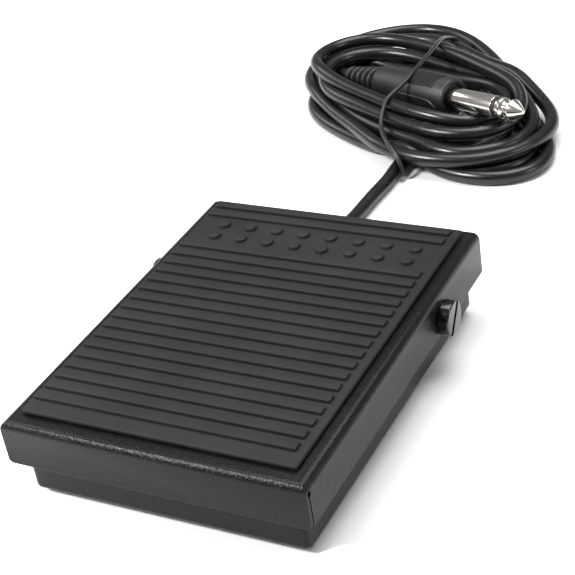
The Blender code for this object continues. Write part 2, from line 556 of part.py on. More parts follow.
def cord_entry():
    """The grommet in the rear wall, the cord's inner end under its clamp, and the two wires."""
    bore, neck, flange, thick = CORD_RADIUS + GAP, GROMMET_NECK, GROMMET_FLANGE, GROMMET_THICK
    wall_in, wall_out = -(SHEET + 2 * GAP) / 2, (SHEET + 2 * GAP) / 2
    profile = [(bore, wall_out + thick), (flange - 0.0006, wall_out + thick), (flange, wall_out + thick - 0.0006),
               (flange, wall_out), (neck, wall_out), (neck, wall_in), (flange, wall_in),
               (flange, wall_in - thick + 0.0006), (flange - 0.0006, wall_in - thick), (bore, wall_in - thick),
               (bore, wall_out + thick)]
    place = (CORD_EXIT.x, BASE_REAR - SHEET / 2, CORD_EXIT.z)
    coloured(turned("cord_grommet", profile, place, (-math.pi / 2, 0, 0)), "rubber")
    coloured(tube("cord_inner", smooth_route(INNER_ROUTE, 0.003), CORD_RADIUS), "cord")

    x, z = INNER_ROUTE[-1][0], INNER_ROUTE[-1][2]
    low, strap = FLOOR + GAP, CLAMP_SHEET
    outer = CORD_RADIUS + GAP + strap
    outline = [(x - outer, low), *arc((x, z), outer, 180, 0, 14), (x + outer, low + strap),
               (x + CLAMP_REACH, low + strap), (x + CLAMP_REACH, low), (x + bore, low),
               *arc((x, z), bore, 0, 180, 14), (x - bore, low)]
    clamp = as_mesh(prism("cord_clamp", outline, CLAMP_WIDTH, (0, CLAMP_Y, 0), (math.pi / 2, 0, 0)))
    screw_x, screw_y = floor_screw_places()[2]
    boolean(clamp, rod("clamp_hole_tool", (screw_x, screw_y, 0.001), (screw_x, screw_y, 0.006), SMALL_HOLE,
                       CUTTERS, 16), "DIFFERENCE")
    coloured(clamp, "plastic")
    small_screw("clamp_screw", low + strap + GAP, BASE_BOTTOM + 0.0001, (screw_x, screw_y, 0))

    end = Vector(INNER_ROUTE[-1]) - Vector((0, GAP, 0))
    common_y, open_y = SWITCH_Y + TERMINAL_PITCH, SWITCH_Y
    blade = SWITCH_X - TERMINAL_HALF_WIDTH - GAP
    routes = {
        "wire_red": [end + Vector((0.0009, 0, 0.0002)), (-0.0100, 0.0200, 0.0042), (-0.0030, 0.0110, 0.0036),
                     (0.0060, common_y + 0.0006, 0.0046), (blade, common_y, 0.0056)],
        "wire_white": [end + Vector((-0.0009, 0, 0.0002)), (-0.0125, 0.0190, 0.0042), (-0.0080, 0.0060, 0.0036),
                       (0.0040, open_y + 0.0004, 0.0044), (blade, open_y, 0.0056)],
    }
    coloured(tube("wire_red", smooth_route(routes["wire_red"], 0.0025), WIRE_RADIUS), "red_wire")
    coloured(tube("wire_white", smooth_route(routes["wire_white"], 0.0025), WIRE_RADIUS), "white_wire")


def coil_place(along, across, height=0.0):
    """A point given along and across the coil's long axis."""
    turn = Matrix.Rotation(COIL_HEADING, 3, "Z")
    return COIL_CENTRE + turn @ Vector((along, across, height))


def coil_outline(steps=48):
    """The coil's rounded outline and its hole, about the coil's centre."""
    outer = []
    for i in range(steps):
        angle = 2 * math.pi * i / steps
        c, s = math.cos(angle), math.sin(angle)
        place = Vector((COIL_HALF_LENGTH * math.copysign(abs(c) ** (2 / COIL_ROUNDNESS), c),
                        COIL_HALF_WIDTH * math.copysign(abs(s) ** (2 / COIL_ROUNDNESS), s)))
        place.rotate(Matrix.Rotation(COIL_TILT, 2))
        outer.append(tuple(place + COIL_SHIFT))
    straight = HOLE_HALF_LENGTH - HOLE_HALF_WIDTH
    hole = (arc((straight, HOLE_SHIFT), HOLE_HALF_WIDTH, -90, 90, 12)
            + arc((-straight, HOLE_SHIFT), HOLE_HALF_WIDTH, 90, 270, 12))
    return [outer, hole]


def cord():
    """The lead to the coil, the coil's outer shape, and the short tail into the plug."""
    coloured(tube("cord_lead", smooth_route(CORD_ROUTE, 0.008), CORD_RADIUS), "cord")
    middle = COIL_CENTRE + Vector((0, 0, GAP + COIL_HEIGHT / 2))
    coloured(prism("cord_coil", coil_outline(), COIL_HEIGHT, middle, (0, 0, COIL_HEADING)), "cord")
    back = plug_direction()
    start = PLUG_TAIL - back * GAP
    tail_end = PLUG_TAIL - back * 0.0070
    coloured(tube("cord_tail", [start, (start + tail_end) / 2, tail_end], CORD_RADIUS), "cord")


def plug_direction():
    """The unit vector from the plug's tail to its tip."""
    flat = Matrix.Rotation(COIL_HEADING, 3, "Z") @ Vector((1, 0, 0))
    return flat * math.cos(PLUG_RISE) + Vector((0, 0, math.sin(PLUG_RISE)))


def plug():
    """The phone plug: boot, barrel, sleeve, insulator and tip, turned about one line."""
    direction = plug_direction()
    turn = direction.to_track_quat("Z", "X").to_euler()

    def place(distance):
        return PLUG_TAIL + direction * distance

    slope = (BOOT_FRONT_RADIUS - BOOT_TAIL_RADIUS) / BOOT_LENGTH
    boot = [(0, BOOT_LENGTH)]
    for i in range(BOOT_RINGS):
        high = BOOT_LENGTH - i * BOOT_PITCH
        radius = BOOT_TAIL_RADIUS + slope * high
        boot += [(radius, high), (radius, high - 0.0017), (radius - 0.0007, high - 0.0019),
                 (radius - 0.0007, high - 0.0029)]
    boot += [(BOOT_TAIL_RADIUS, 0.0006), (BOOT_TAIL_RADIUS - 0.0004, 0), (0, 0)]
    coloured(turned("plug_boot", boot, place(0), turn, 24), "plastic")

    front, recess = BARREL_LENGTH, 0.0012
    radius = BARREL_RADIUS
    barrel = [(0, front - recess), (radius - 0.0012, front - recess), (radius - 0.0010, front),
              (radius - 0.0003, front), (radius, front - 0.0003), (radius, 0.0012), (radius - 0.0010, 0), (0, 0)]
    coloured(turned("plug_barrel", barrel, place(BOOT_LENGTH + GAP), turn, 36), "plastic")

    start = BOOT_LENGTH + GAP + front - recess + GAP
    radius = SLEEVE_RADIUS
    sleeve = [(0, SLEEVE_LENGTH), (radius - 0.0002, SLEEVE_LENGTH), (radius, SLEEVE_LENGTH - 0.0002), (radius, 0),
              (0, 0)]
    coloured(turned("plug_sleeve", sleeve, place(start), turn), "nickel")

    start += SLEEVE_LENGTH + GAP
    ring = [(0, INSULATOR_LENGTH), (radius - 0.0001, INSULATOR_LENGTH), (radius - 0.0001, 0), (0, 0)]
    coloured(turned("plug_insulator", ring, place(start), turn), "plastic")

    start += INSULATOR_LENGTH + GAP
    tip = [(0, 0.0090), (0.0006, 0.0088), (0.0031, 0.0052), (0.0032, 0.0047), (0.0021, 0.0024), (0.0021, 0.0019),
           (0.0030, 0.0014), (0.0031, 0.0012), (0.0031, 0), (0, 0)]
    coloured(turned("plug_tip", tip, place(start), turn), "nickel")


def cord_tie():
    """The thin wire tie over the coil and the plug."""
    span = TIE_SHAPE[0][0] - TIE_SHAPE[-1][0]
    points = []
    for across, height in TIE_SHAPE:
        share = (TIE_SHAPE[0][0] - across) / span
        points.append(coil_place(TIE_FAR + (TIE_NEAR - TIE_FAR) * share, across, height))
    coloured(tube("cord_tie", smooth_route(points, 0.003), TIE_RADIUS), "cord")


def main():
    """Build the pedal."""
    clear_scene()
    pivot_tool = pivot_hole_tool()
    base_tray(pivot_tool)
    feet()
    treadle(pivot_tool)
    treadle_mat()
    pivots()
    return_spring()
    stops()
    switch()
    cord_entry()
    cord()
    plug()
    cord_tie()


main()
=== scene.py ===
"""The looks of a sustain pedal: sheet-metal treadle and base, rubber mat, pivots, coiled lead and phone plug.

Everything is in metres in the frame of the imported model: the floor is z = 0, the foot presses the -Y end and
the lead leaves at the +Y end.
"""

import logging
import math
from collections.abc import Sequence
from dataclasses import dataclass
from enum import Enum

import bmesh
import bpy
import numpy as np
from bpy.types import Material, Object
from mathutils import Matrix, Vector


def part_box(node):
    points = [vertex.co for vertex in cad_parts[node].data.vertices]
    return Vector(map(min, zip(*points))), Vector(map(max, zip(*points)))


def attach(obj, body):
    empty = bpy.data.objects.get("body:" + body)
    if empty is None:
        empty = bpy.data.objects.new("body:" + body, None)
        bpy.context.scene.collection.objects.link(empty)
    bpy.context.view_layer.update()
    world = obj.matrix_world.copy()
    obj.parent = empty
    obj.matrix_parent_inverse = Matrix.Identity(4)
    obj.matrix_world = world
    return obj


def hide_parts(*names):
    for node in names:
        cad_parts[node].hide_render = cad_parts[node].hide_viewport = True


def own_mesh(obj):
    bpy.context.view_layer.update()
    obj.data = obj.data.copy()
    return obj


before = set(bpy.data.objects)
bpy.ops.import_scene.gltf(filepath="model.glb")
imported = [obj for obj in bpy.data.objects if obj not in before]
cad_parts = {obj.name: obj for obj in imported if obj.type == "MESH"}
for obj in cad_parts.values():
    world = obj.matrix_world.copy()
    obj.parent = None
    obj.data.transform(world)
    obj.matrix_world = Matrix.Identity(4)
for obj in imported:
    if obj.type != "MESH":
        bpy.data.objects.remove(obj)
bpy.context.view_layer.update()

log = logging.getLogger("sustain_pedal")

Point = Sequence[float]
PIVOT = Vector((0.0, 0.0236, 0.0144))
TREADLE_TOP = 0.02182
CORD_RADIUS = 0.0021
MERGE = 1e-7
SHARP = 35.0


class Body(Enum):
    """The moving bodies of the frame."""

    BASE = "base"
    TREADLE = "treadle"
    LEVER = "lever"
    PLUNGER = "plunger"


# --------------------------------------------------------------------------------------------------
# Node trees


class Value:
    """A number in a node tree, which Python operators turn into Math nodes."""

    def __init__(self, tree: "Tree", socket: bpy.types.NodeSocket) -> None:
        """Wrap one output socket of a tree."""
        self.tree, self.socket = tree, socket

    def _maths(self, operation: str, *values: "Value | float") -> "Value":
        """Add a Math node.

        Args:
            operation: the Math node's operation.
            values: its inputs, in order.

        Returns:
            The node's result.
        """
        return self.tree.add("ShaderNodeMath", {"operation": operation}, dict(enumerate(values)))

    def __add__(self, other: "Value | float") -> "Value":
        """Sum."""
        return self._maths("ADD", self, other)

    def __sub__(self, other: "Value | float") -> "Value":
        """Difference."""
        return self._maths("SUBTRACT", self, other)

    def __rsub__(self, other: "Value | float") -> "Value":
        """Difference, with the number first."""
        return self._maths("SUBTRACT", other, self)

    def __mul__(self, other: "Value | float") -> "Value":
        """Product."""
        return self._maths("MULTIPLY", self, other)

    __radd__, __rmul__ = __add__, __mul__

    def step(self, low: float, high: float, to_low: float = 0.0, to_high: float = 1.0) -> "Value":
        """Pass smoothly from one level to another.

        Args:
            low: where the change starts.
            high: where the change ends.
            to_low: the result up to low.
            to_high: the result from high.

        Returns:
            The eased value.
        """
        return self.tree.add("ShaderNodeMapRange", {"interpolation_type": "SMOOTHSTEP"},
                             {"Value": self, "From Min": low, "From Max": high, "To Min": to_low,
                              "To Max": to_high})


class Tree:
    """A node tree under construction, for a material or for geometry."""

    def __init__(self, tree: bpy.types.NodeTree) -> None:
        """Start from an existing tree."""
        self.tree = tree

    def node(self, kind: str, settings: dict | None = None, inputs: dict | None = None) -> bpy.types.Node:
        """Add a node.

        Args:
            kind: the node's type.
            settings: attributes of the node, set before its sockets.
            inputs: values or links of its sockets, by name or place.

        Returns:
            The node.
        """
        made = self.tree.nodes.new(kind)
        for key, value in (settings or {}).items():
            setattr(made, key, value)
        for key, value in (inputs or {}).items():
            socket = made.inputs[key]
            if isinstance(value, Value):
                value = value.socket
            if isinstance(value, bpy.types.NodeSocket):
                self.tree.links.new(value, socket)
            else:
                socket.default_value = value
        return made

    def add(self, kind: str, settings: dict | None = None, inputs: dict | None = None,
            output: int | str = 0) -> Value:
        """Add a node and take one of its outputs.

        Args:
            kind: the node's type.
            settings: attributes of the node.
            inputs: values or links of its sockets.
            output: the output, by name or place.

        Returns:
            The output, ready for arithmetic.
        """
        return Value(self, self.node(kind, settings, inputs).outputs[output])


class Paint(Tree):
    """A material's tree, with the patterns that the finishes share."""

    def __init__(self, name: str) -> None:
        """Make an empty material with one Principled shader."""
        self.material = bpy.data.materials.new(name)
        self.material.use_nodes = True
        super().__init__(self.material.node_tree)
        self.shader = self.tree.nodes["Principled BSDF"]
        self.place = self.add("ShaderNodeTexCoord", output="Object")

    def set(self, **constants: float | tuple) -> None:
        """Set constants on the shader's own sockets, an underscore standing for a space."""
        for name, value in constants.items():
            self.shader.inputs[name.replace("_", " ")].default_value = value

    def feed(self, name: str, value: Value) -> None:
        """Link a value to one of the shader's sockets."""
        self.tree.links.new(value.socket, self.shader.inputs[name])

    def stretched(self, scale: Point, turn: Point) -> Value:
        """Object coordinates turned and scaled along each axis."""
        return self.add("ShaderNodeMapping", None, {"Vector": self.place, "Rotation": turn, "Scale": scale})

    def noise(self, scale: float, detail: float = 3.0, rough: float = 0.5,
              place: Value | None = None) -> Value:
        """Soft noise, with scale in cells a metre.

        Args:
            scale: cells to a metre.
            detail: how many finer layers are added.
            rough: how strong the finer layers are.
            place: coordinates, if not the object's own.

        Returns:
            The noise, about 0.5 on average.
        """
        return self.add("ShaderNodeTexNoise", None,
                        {"Vector": place or self.place, "Scale": scale, "Detail": detail, "Roughness": rough})

    def mix(self, share: Value, first: tuple, second: tuple) -> Value:
        """Mix two colours by a share."""
        return self.add("ShaderNodeMix", {"data_type": "RGBA"}, {"Factor": share, "A": first, "B": second},
                        "Result")

    def relief(self, *layers: tuple[Value, float]) -> None:
        """Feed Normal with Bump nodes, one on another.

        Args:
            layers: heights from 0 to 1 and how far each stands up, in metres.
        """
        below: Value | None = None
        for height, rise in layers:
            inputs: dict = {"Height": height, "Distance": rise, "Strength": 1.0}
            if below is not None:
                inputs["Normal"] = below
            below = self.add("ShaderNodeBump", None, inputs)
        if below is not None:
            self.feed("Normal", below)


# --------------------------------------------------------------------------------------------------
# Finishes


def grey(level: float, blue: float = 1.05) -> tuple[float, float, float, float]:
    """A near-neutral linear colour, a little cool."""
    return (level, level * (0.5 + 0.5 * blue), level * blue, 1.0)


@dataclass(frozen=True)
class PowderCoat:
    """Semi-matt black powder coat with a fine pebbled grain."""

    tone: float = 0.0045
    grain: float = 0.00010
    name: str = "powder_coat"

    def make(self) -> Material:
        """Build the material."""
        paint = Paint(self.name)
        pebble = paint.noise(2400.0, 1.0, 0.4)
        flake = paint.noise(2600.0, 2.0)
        cloud = paint.noise(30.0, 3.0)
        sparkle = pebble.step(0.50, 0.68)
        level = cloud.step(0.3, 0.7, 0.0, 0.15) + sparkle * 0.85
        paint.feed("Base Color", paint.mix(level, grey(self.tone, 1.25), grey(self.tone * 2.4, 1.15)))
        paint.feed("Roughness", 0.27 + cloud.step(0.3, 0.7) * 0.05 + flake * 0.06)
        paint.relief((cloud, 0.00002), (pebble, self.grain), (flake, self.grain * 0.25))
        paint.set(Specular_IOR_Level=0.18)
        return paint.material


@dataclass(frozen=True)
class Rubber:
    """Moulded matt rubber, with a faint mottle and a dusty bloom in its grain."""

    tone: float = 0.011
    rough: float = 0.60
    grain: float = 0.00004
    name: str = "mat_rubber"

    def make(self) -> Material:
        """Build the material."""
        paint = Paint(self.name)
        mottle = paint.noise(45.0, 4.0, 0.6)
        grain = paint.noise(2300.0, 3.0, 0.6)
        bloom = mottle.step(0.35, 0.75) * 0.6 + grain.step(0.4, 0.8) * 0.4
        paint.feed("Base Color", paint.mix(bloom, grey(self.tone, 1.22), grey(self.tone * 1.7, 1.18)))
        paint.feed("Roughness", self.rough + grain * 0.12 - mottle * 0.06)
        paint.relief((mottle, 0.00003), (grain, self.grain))
        paint.set(Specular_IOR_Level=0.22)
        return paint.material


class Metal(Enum):
    """The bare metals: colour, roughness and how strong the tool marks are."""

    ZINC = ((0.46, 0.48, 0.50, 1.0), 0.34, 1.0)
    NICKEL = ((0.78, 0.75, 0.69, 1.0), 0.17, 0.12)
    BRASS = ((0.70, 0.50, 0.22, 1.0), 0.28, 0.7)
    BLACKED_STEEL = ((0.020, 0.020, 0.022, 1.0), 0.16, 0.6)


@dataclass(frozen=True)
class BareMetal:
    """Plated or blacked metal with fine tool marks and soft stains."""

    metal: Metal
    name: str

    def make(self) -> Material:
        """Build the material."""
        colour, rough, marks = self.metal.value
        paint = Paint(self.name)
        stain = paint.noise(260.0, 4.0)
        scratch = paint.noise(900.0, 2.0, 0.5, paint.stretched((1.0, 0.12, 1.0), (0.3, 0.5, 0.2)))
        darker = tuple(c * 0.82 for c in colour[:3]) + (1.0,)
        paint.feed("Base Color", paint.mix(stain.step(0.40, 0.75), colour, darker))
        paint.feed("Roughness", rough + stain.step(0.4, 0.8) * 0.06 + scratch.step(0.5, 0.8) * 0.08 * marks)
        paint.relief((scratch, 0.000004 * marks))
        paint.set(Metallic=0.85 if self.metal is Metal.BLACKED_STEEL else 1.0)
        if self.metal is Metal.BLACKED_STEEL:
            paint.set(Coat_Weight=0.5, Coat_Roughness=0.12)
        return paint.material


@dataclass(frozen=True)
class Plastic:
    """Moulded plastic with spark-eroded texture."""

    name: str
    colour: tuple[float, float, float, float] = (0.014, 0.014, 0.015, 1.0)
    rough: float = 0.45
    grain: float = 0.00002
    cell: float = 2200.0

    def make(self) -> Material:
        """Build the material."""
        paint = Paint(self.name)
        texture = paint.noise(self.cell, 3.0, 0.55)
        flow = paint.noise(120.0, 2.0)
        lighter = tuple(min(1.0, c * 1.5 + 0.004) for c in self.colour[:3]) + (1.0,)
        paint.feed("Base Color", paint.mix(texture.step(0.42, 0.75) * 0.6, self.colour, lighter))
        paint.feed("Roughness", self.rough + texture * 0.10 - flow * 0.05)
        paint.relief((flow, 0.00001), (texture, self.grain))
        return paint.material


@dataclass(frozen=True)
class Jacket:
    """Glossy flexible vinyl, with a slow wave from winding and faint rub marks."""

    name: str = "cord_jacket"
    colour: tuple[float, float, float, float] = (0.0045, 0.0045, 0.0050, 1.0)
    rough: float = 0.27

    def make(self) -> Material:
        """Build the material."""
        paint = Paint(self.name)
        wave = paint.noise(160.0, 3.0)
        rub = paint.noise(700.0, 4.0, 0.65)
        lighter = tuple(min(1.0, c * 1.9 + 0.002) for c in self.colour[:3]) + (1.0,)
        paint.feed("Base Color", paint.mix(rub.step(0.55, 0.80), self.colour, lighter))
        paint.feed("Roughness", self.rough + rub.step(0.45, 0.8) * 0.12 + wave.step(0.3, 0.7) * 0.05)
        paint.relief((wave, 0.00006), (rub, 0.000008))
        paint.set(Specular_IOR_Level=0.45)
        return paint.material


class Finishes:
    """Every finish of the pedal, made once."""

    def __init__(self) -> None:
        """Build the materials."""
        self.powder = PowderCoat().make()
        # The base's copy of the powder coat is darker than the treadle's: painted shade for the base lying
        # under the treadle.
        self.shaded_base_powder = PowderCoat(tone=0.0040, name="powder_coat_base_painted_shade").make()
        self.mat = Rubber().make()
        self.feet = Rubber(0.020, 0.70, name="foot_rubber").make()
        self.blacked = BareMetal(Metal.BLACKED_STEEL, "blacked_steel").make()
        self.zinc = BareMetal(Metal.ZINC, "zinc_plate").make()
        self.nickel = BareMetal(Metal.NICKEL, "nickel_plate").make()
        self.brass = BareMetal(Metal.BRASS, "brass").make()
        self.nylon = Plastic("nylon", (0.62, 0.60, 0.55, 1.0), 0.42).make()
        self.black_plastic = Plastic("black_plastic").make()
        self.plug_plastic = Plastic("plug_plastic", (0.008, 0.008, 0.009, 1.0), 0.42, 0.00010, 1700.0).make()
        self.jacket = Jacket().make()
        self.tie = Jacket("tie_vinyl", (0.010, 0.010, 0.011, 1.0), 0.36).make()
        self.red_wire = Jacket("red_vinyl", (0.42, 0.012, 0.010, 1.0), 0.34).make()
        self.white_wire = Jacket("white_vinyl", (0.66, 0.65, 0.62, 1.0), 0.34).make()


# --------------------------------------------------------------------------------------------------
# Meshes


def in_scene(name: str, data: bpy.types.ID) -> Object:
    """An object of the data, in the scene."""
    made = bpy.data.objects.new(name, data)
    bpy.context.scene.collection.objects.link(made)
    return made


def arc(x: float, y: float, radius: float, start: float, end: float, steps: int) -> list[tuple[float, float]]:
    """Points on an arc about x and y, from one angle in degrees to another."""
    angles = (math.radians(start + (end - start) * i / steps) for i in range(steps + 1))
    return [(x + radius * math.cos(a), y + radius * math.sin(a)) for a in angles]


def cleaned(bm: bmesh.types.BMesh) -> None:
    """Merge a mesh's doubles and turn its faces outwards."""
    bmesh.ops.remove_doubles(bm, verts=bm.verts, dist=MERGE)
    bmesh.ops.recalc_face_normals(bm, faces=bm.faces)


def shaded(piece: Object, sharp: float = SHARP) -> Object:
    """Shade a piece smooth, apart from edges sharper than an angle in degrees."""
    piece.data.shade_smooth()
    piece.data.set_sharp_from_angle(angle=math.radians(sharp))
    return piece


def raw(name: str, bm: bmesh.types.BMesh, material: Material) -> Object:
    """Turn a bmesh as it is into an object with one finish.

    Args:
        name: the object's name.
        bm: its mesh, which is freed.
        material: its finish.

    Returns:
        The object.
    """
    mesh = bpy.data.meshes.new(name)
    bm.to_mesh(mesh)
    bm.free()
    mesh.materials.append(material)
    return in_scene(name, mesh)


def settled(name: str, bm: bmesh.types.BMesh, material: Material, sharp: float = SHARP) -> Object:
    """Turn a bmesh into a piece with outward faces.

    Args:
        name: the piece's name.
        bm: its mesh, which is freed.
        material: its finish.
        sharp: the angle in degrees above which an edge stays sharp.

    Returns:
        The piece.
    """
    cleaned(bm)
    return shaded(raw(name, bm, material), sharp)


def applied(piece: Object) -> Object:
    """Apply a piece's modifiers and shade its round faces smooth."""
    bpy.context.view_layer.update()
    mesh = bpy.data.meshes.new_from_object(piece.evaluated_get(bpy.context.evaluated_depsgraph_get()))
    piece.modifiers.clear()
    piece.data = mesh
    return shaded(piece)


def lathe(name: str, profile: Sequence[Point], place: Matrix, material: Material, steps: int = 64,
          sharp: float = SHARP) -> Object:
    """Turn a closed profile about its own Z.

    Args:
        name: the piece's name.
        profile: points of radius and height, from axis to axis or as a closed ring.
        place: where the axis lies.
        material: the finish.
        steps: points around.
        sharp: the angle in degrees above which an edge stays sharp.

    Returns:
        The piece.
    """
    bm = bmesh.new()
    rings = []
    for radius, height in profile:
        if radius < MERGE:
            rings.append([bm.verts.new(place @ Vector((0, 0, height)))])
            continue
        angles = (2 * math.pi * i / steps for i in range(steps))
        rings.append([bm.verts.new(place @ Vector((radius * math.cos(a), radius * math.sin(a), height)))
                      for a in angles])
    pairs = list(zip(rings, rings[1:]))
    if len(rings[0]) > 1:
        pairs.append((rings[-1], rings[0]))
    for low, high in pairs:
        for i in range(steps):
            after = i + 1
            corners = list(dict.fromkeys((low[i % len(low)], low[after % len(low)], high[after % len(high)],
                                          high[i % len(high)])))
            if len(corners) > 2:
                bm.faces.new(corners)
    return settled(name, bm, material, sharp)


def pipe(name: str, centres: np.ndarray, radius: float, material: Material, sides: int = 16) -> Object:
    """A round tube with domed ends along a line, with no twist.

    Args:
        name: the piece's name.
        centres: points of the centreline.
        radius: its radius.
        material: the finish.
        sides: points around.

    Returns:
        The piece.
    """
    bm = bmesh.new()
    along = np.gradient(centres, axis=0)
    along /= np.linalg.norm(along, axis=1)[:, None]
    side = Vector(np.cross(along[0], (0.3, 0.2, 1.0))).normalized()
    rings, last, dome_height = [], len(centres) - 1, 0.35
    dome = ((0.95, 0.3), (0.75, 0.66), (0.4, 0.92))
    shells = [(0, -push, share) for push, share in dome] + [(i, 0.0, 1.0) for i in range(last + 1)]
    shells += [(last, push, share) for push, share in reversed(dome)]
    for i, push, share in shells:
        forward = Vector(along[i])
        side = (side - forward * side.dot(forward)).normalized()
        other = forward.cross(side)
        middle = Vector(centres[i]) + forward * radius * dome_height * push
        rings.append([bm.verts.new(middle + (side * math.cos(a) + other * math.sin(a)) * radius * share)
                      for a in (2 * math.pi * k / sides for k in range(sides))])
    for low, high in zip(rings, rings[1:]):
        for k in range(sides):
            bm.faces.new((low[k], low[(k + 1) % sides], high[(k + 1) % sides], high[k]))
    bm.faces.new(rings[0])
    bm.faces.new(rings[-1])
    return settled(name, bm, material, 60.0)


def extruded(name: str, outline: Sequence[Point], low: float, high: float, material: Material,
             rounding: float = 0.0, segments: int = 3) -> Object:
    """Extrude an outline in Y and Z along X.

    Args:
        name: the piece's name.
        outline: points of Y and Z.
        low: the lower X.
        high: the upper X.
        material: the finish.
        rounding: how far its edges are rounded.
        segments: faces across a rounded edge.

    Returns:
        The piece.
    """
    bm = bmesh.new()
    ends = [[bm.verts.new((x, y, z)) for y, z in outline] for x in (low, high)]
    count = len(outline)
    for i in range(count):
        bm.faces.new((ends[0][i], ends[0][(i + 1) % count], ends[1][(i + 1) % count], ends[1][i]))
    bm.faces.new(ends[0])
    bm.faces.new(ends[1])
    piece = settled(name, bm, material)
    if rounding:
        bevel = piece.modifiers.new("rounding", "BEVEL")
        bevel.width, bevel.segments = rounding, segments
        bevel.limit_method, bevel.angle_limit = "ANGLE", math.radians(40)
        applied(piece)
    return piece


def cut(piece: Object, tools: Sequence[Object]) -> Object:
    """Cut tools from a piece and remove them."""
    for tool in tools:
        modifier = piece.modifiers.new(tool.name, "BOOLEAN")
        modifier.operation, modifier.solver, modifier.object = "DIFFERENCE", "EXACT", tool
    applied(piece)
    for tool in tools:
        bpy.data.objects.remove(tool, do_unlink=True)
    return piece


def box_tool(low: Point, high: Point, material: Material) -> Object:
    """A block to cut with."""
    outline = [(low[1], low[2]), (high[1], low[2]), (high[1], high[2]), (low[1], high[2])]
    return extruded("block_tool", outline, low[0], high[0], material)


def rod_tool(start: Point, end: Point, radius: float, material: Material) -> Object:
    """A round bar to cut with."""
    start, end = Vector(start), Vector(end)
    turn = (end - start).to_track_quat("Z", "Y").to_matrix().to_4x4()
    length = (end - start).length
    profile = [(0, 0), (radius, 0), (radius, length), (0, length)]
    return lathe("rod_tool", profile, Matrix.Translation(start) @ turn, material, 48)


def hinge_tool(radius: float, material: Material) -> Object:
    """A bar along the hinge line, to cut both pivot holes with."""
    reach = Vector((0.06, 0, 0))
    return rod_tool(PIVOT - reach, PIVOT + reach, radius, material)


# --------------------------------------------------------------------------------------------------
# Geometry trees


class Repeat(Tree):
    """A geometry tree with named inputs, which makes one plain mesh."""

    KINDS = {float: "NodeSocketFloat", int: "NodeSocketInt"}

    def __init__(self, name: str, values: dict[str, float | int | Material | Object]) -> None:
        """Make the tree and its inputs.

        Args:
            name: the tree's name.
            values: what each named input is set to on the modifier.
        """
        super().__init__(bpy.data.node_groups.new(name, "GeometryNodeTree"))
        self.name, self.values = name, values
        self.sockets: dict[str, str] = {}
        self.tree.interface.new_socket("Geometry", in_out="OUTPUT", socket_type="NodeSocketGeometry")
        for label, value in values.items():
            kind = self.KINDS.get(type(value), "NodeSocketObject")
            if isinstance(value, Material):
                kind = "NodeSocketMaterial"
            made = self.tree.interface.new_socket(label, in_out="INPUT", socket_type=kind)
            self.sockets[label] = made.identifier
        self.given = self.tree.nodes.new("NodeGroupInput")

    def __getitem__(self, label: str) -> Value:
        """A named input."""
        return Value(self, self.given.outputs[label])

    def vector(self, x: Value | float, y: Value | float, z: Value | float) -> Value:
        """Three numbers as a vector."""
        return self.add("ShaderNodeCombineXYZ", None, {0: x, 1: y, 2: z})

    def finish(self, geometry: Value) -> Object:
        """End the tree and turn its result into a plain piece.

        Args:
            geometry: what the tree makes.

        Returns:
            The piece, with no modifier left.
        """
        real = self.add("GeometryNodeRealizeInstances", None, {0: geometry})
        dressed = self.add("GeometryNodeSetMaterial", None, {"Geometry": real, "Material": self["Finish"]})
        self.node("NodeGroupOutput", None, {0: dressed})
        piece = in_scene(self.name, bpy.data.meshes.new(self.name))
        modifier = piece.modifiers.new(self.name, "NODES")
        modifier.node_group = self.tree
        for label, value in self.values.items():
            modifier[self.sockets[label]] = value
        return applied(piece)


def flipped_out(piece: Object) -> Object:
    """Merge a piece's doubles and turn its faces outwards."""
    bm = bmesh.new()
    bm.from_mesh(piece.data)
    cleaned(bm)
    bm.to_mesh(piece.data)
    bm.free()
    return piece


def row_of_copies(name: str, unit: Object, count: int, pitch: float, start: Point,
                  finish: Material, columns: int = 1, column_pitch: float = 0.01) -> Object:
    """Copy a unit piece on a grid with a geometry tree.

    Args:
        name: the piece's name.
        unit: the piece to repeat, about the origin, which is removed.
        count: rows along Y.
        pitch: the distance between rows.
        start: the place of the first copy.
        finish: the material.
        columns: copies along X in each row.
        column_pitch: the distance between columns.

    Returns:
        The repeated piece.
    """
    grow = Repeat(name, {"Unit": unit, "Rows": count, "Pitch": float(pitch), "Columns": columns,
                         "Column pitch": float(column_pitch), "Finish": finish})
    shape = grow.add("GeometryNodeObjectInfo", None, {"Object": grow["Unit"]}, "Geometry")
    across = grow.add("GeometryNodeMeshLine", {"mode": "OFFSET"},
                      {"Count": grow["Columns"], "Start Location": tuple(start),
                       "Offset": grow.vector(grow["Column pitch"], 0.0, 0.0)})
    row = grow.add("GeometryNodeInstanceOnPoints", None, {"Points": across, "Instance": shape})
    down = grow.add("GeometryNodeMeshLine", {"mode": "OFFSET"},
                    {"Count": grow["Rows"], "Offset": grow.vector(0.0, grow["Pitch"], 0.0)})
    grid = grow.add("GeometryNodeInstanceOnPoints", None, {"Points": down, "Instance": row})
    piece = grow.finish(grid)
    bpy.data.objects.remove(unit, do_unlink=True)
    return piece


# --------------------------------------------------------------------------------------------------
# The treadle, base and mat


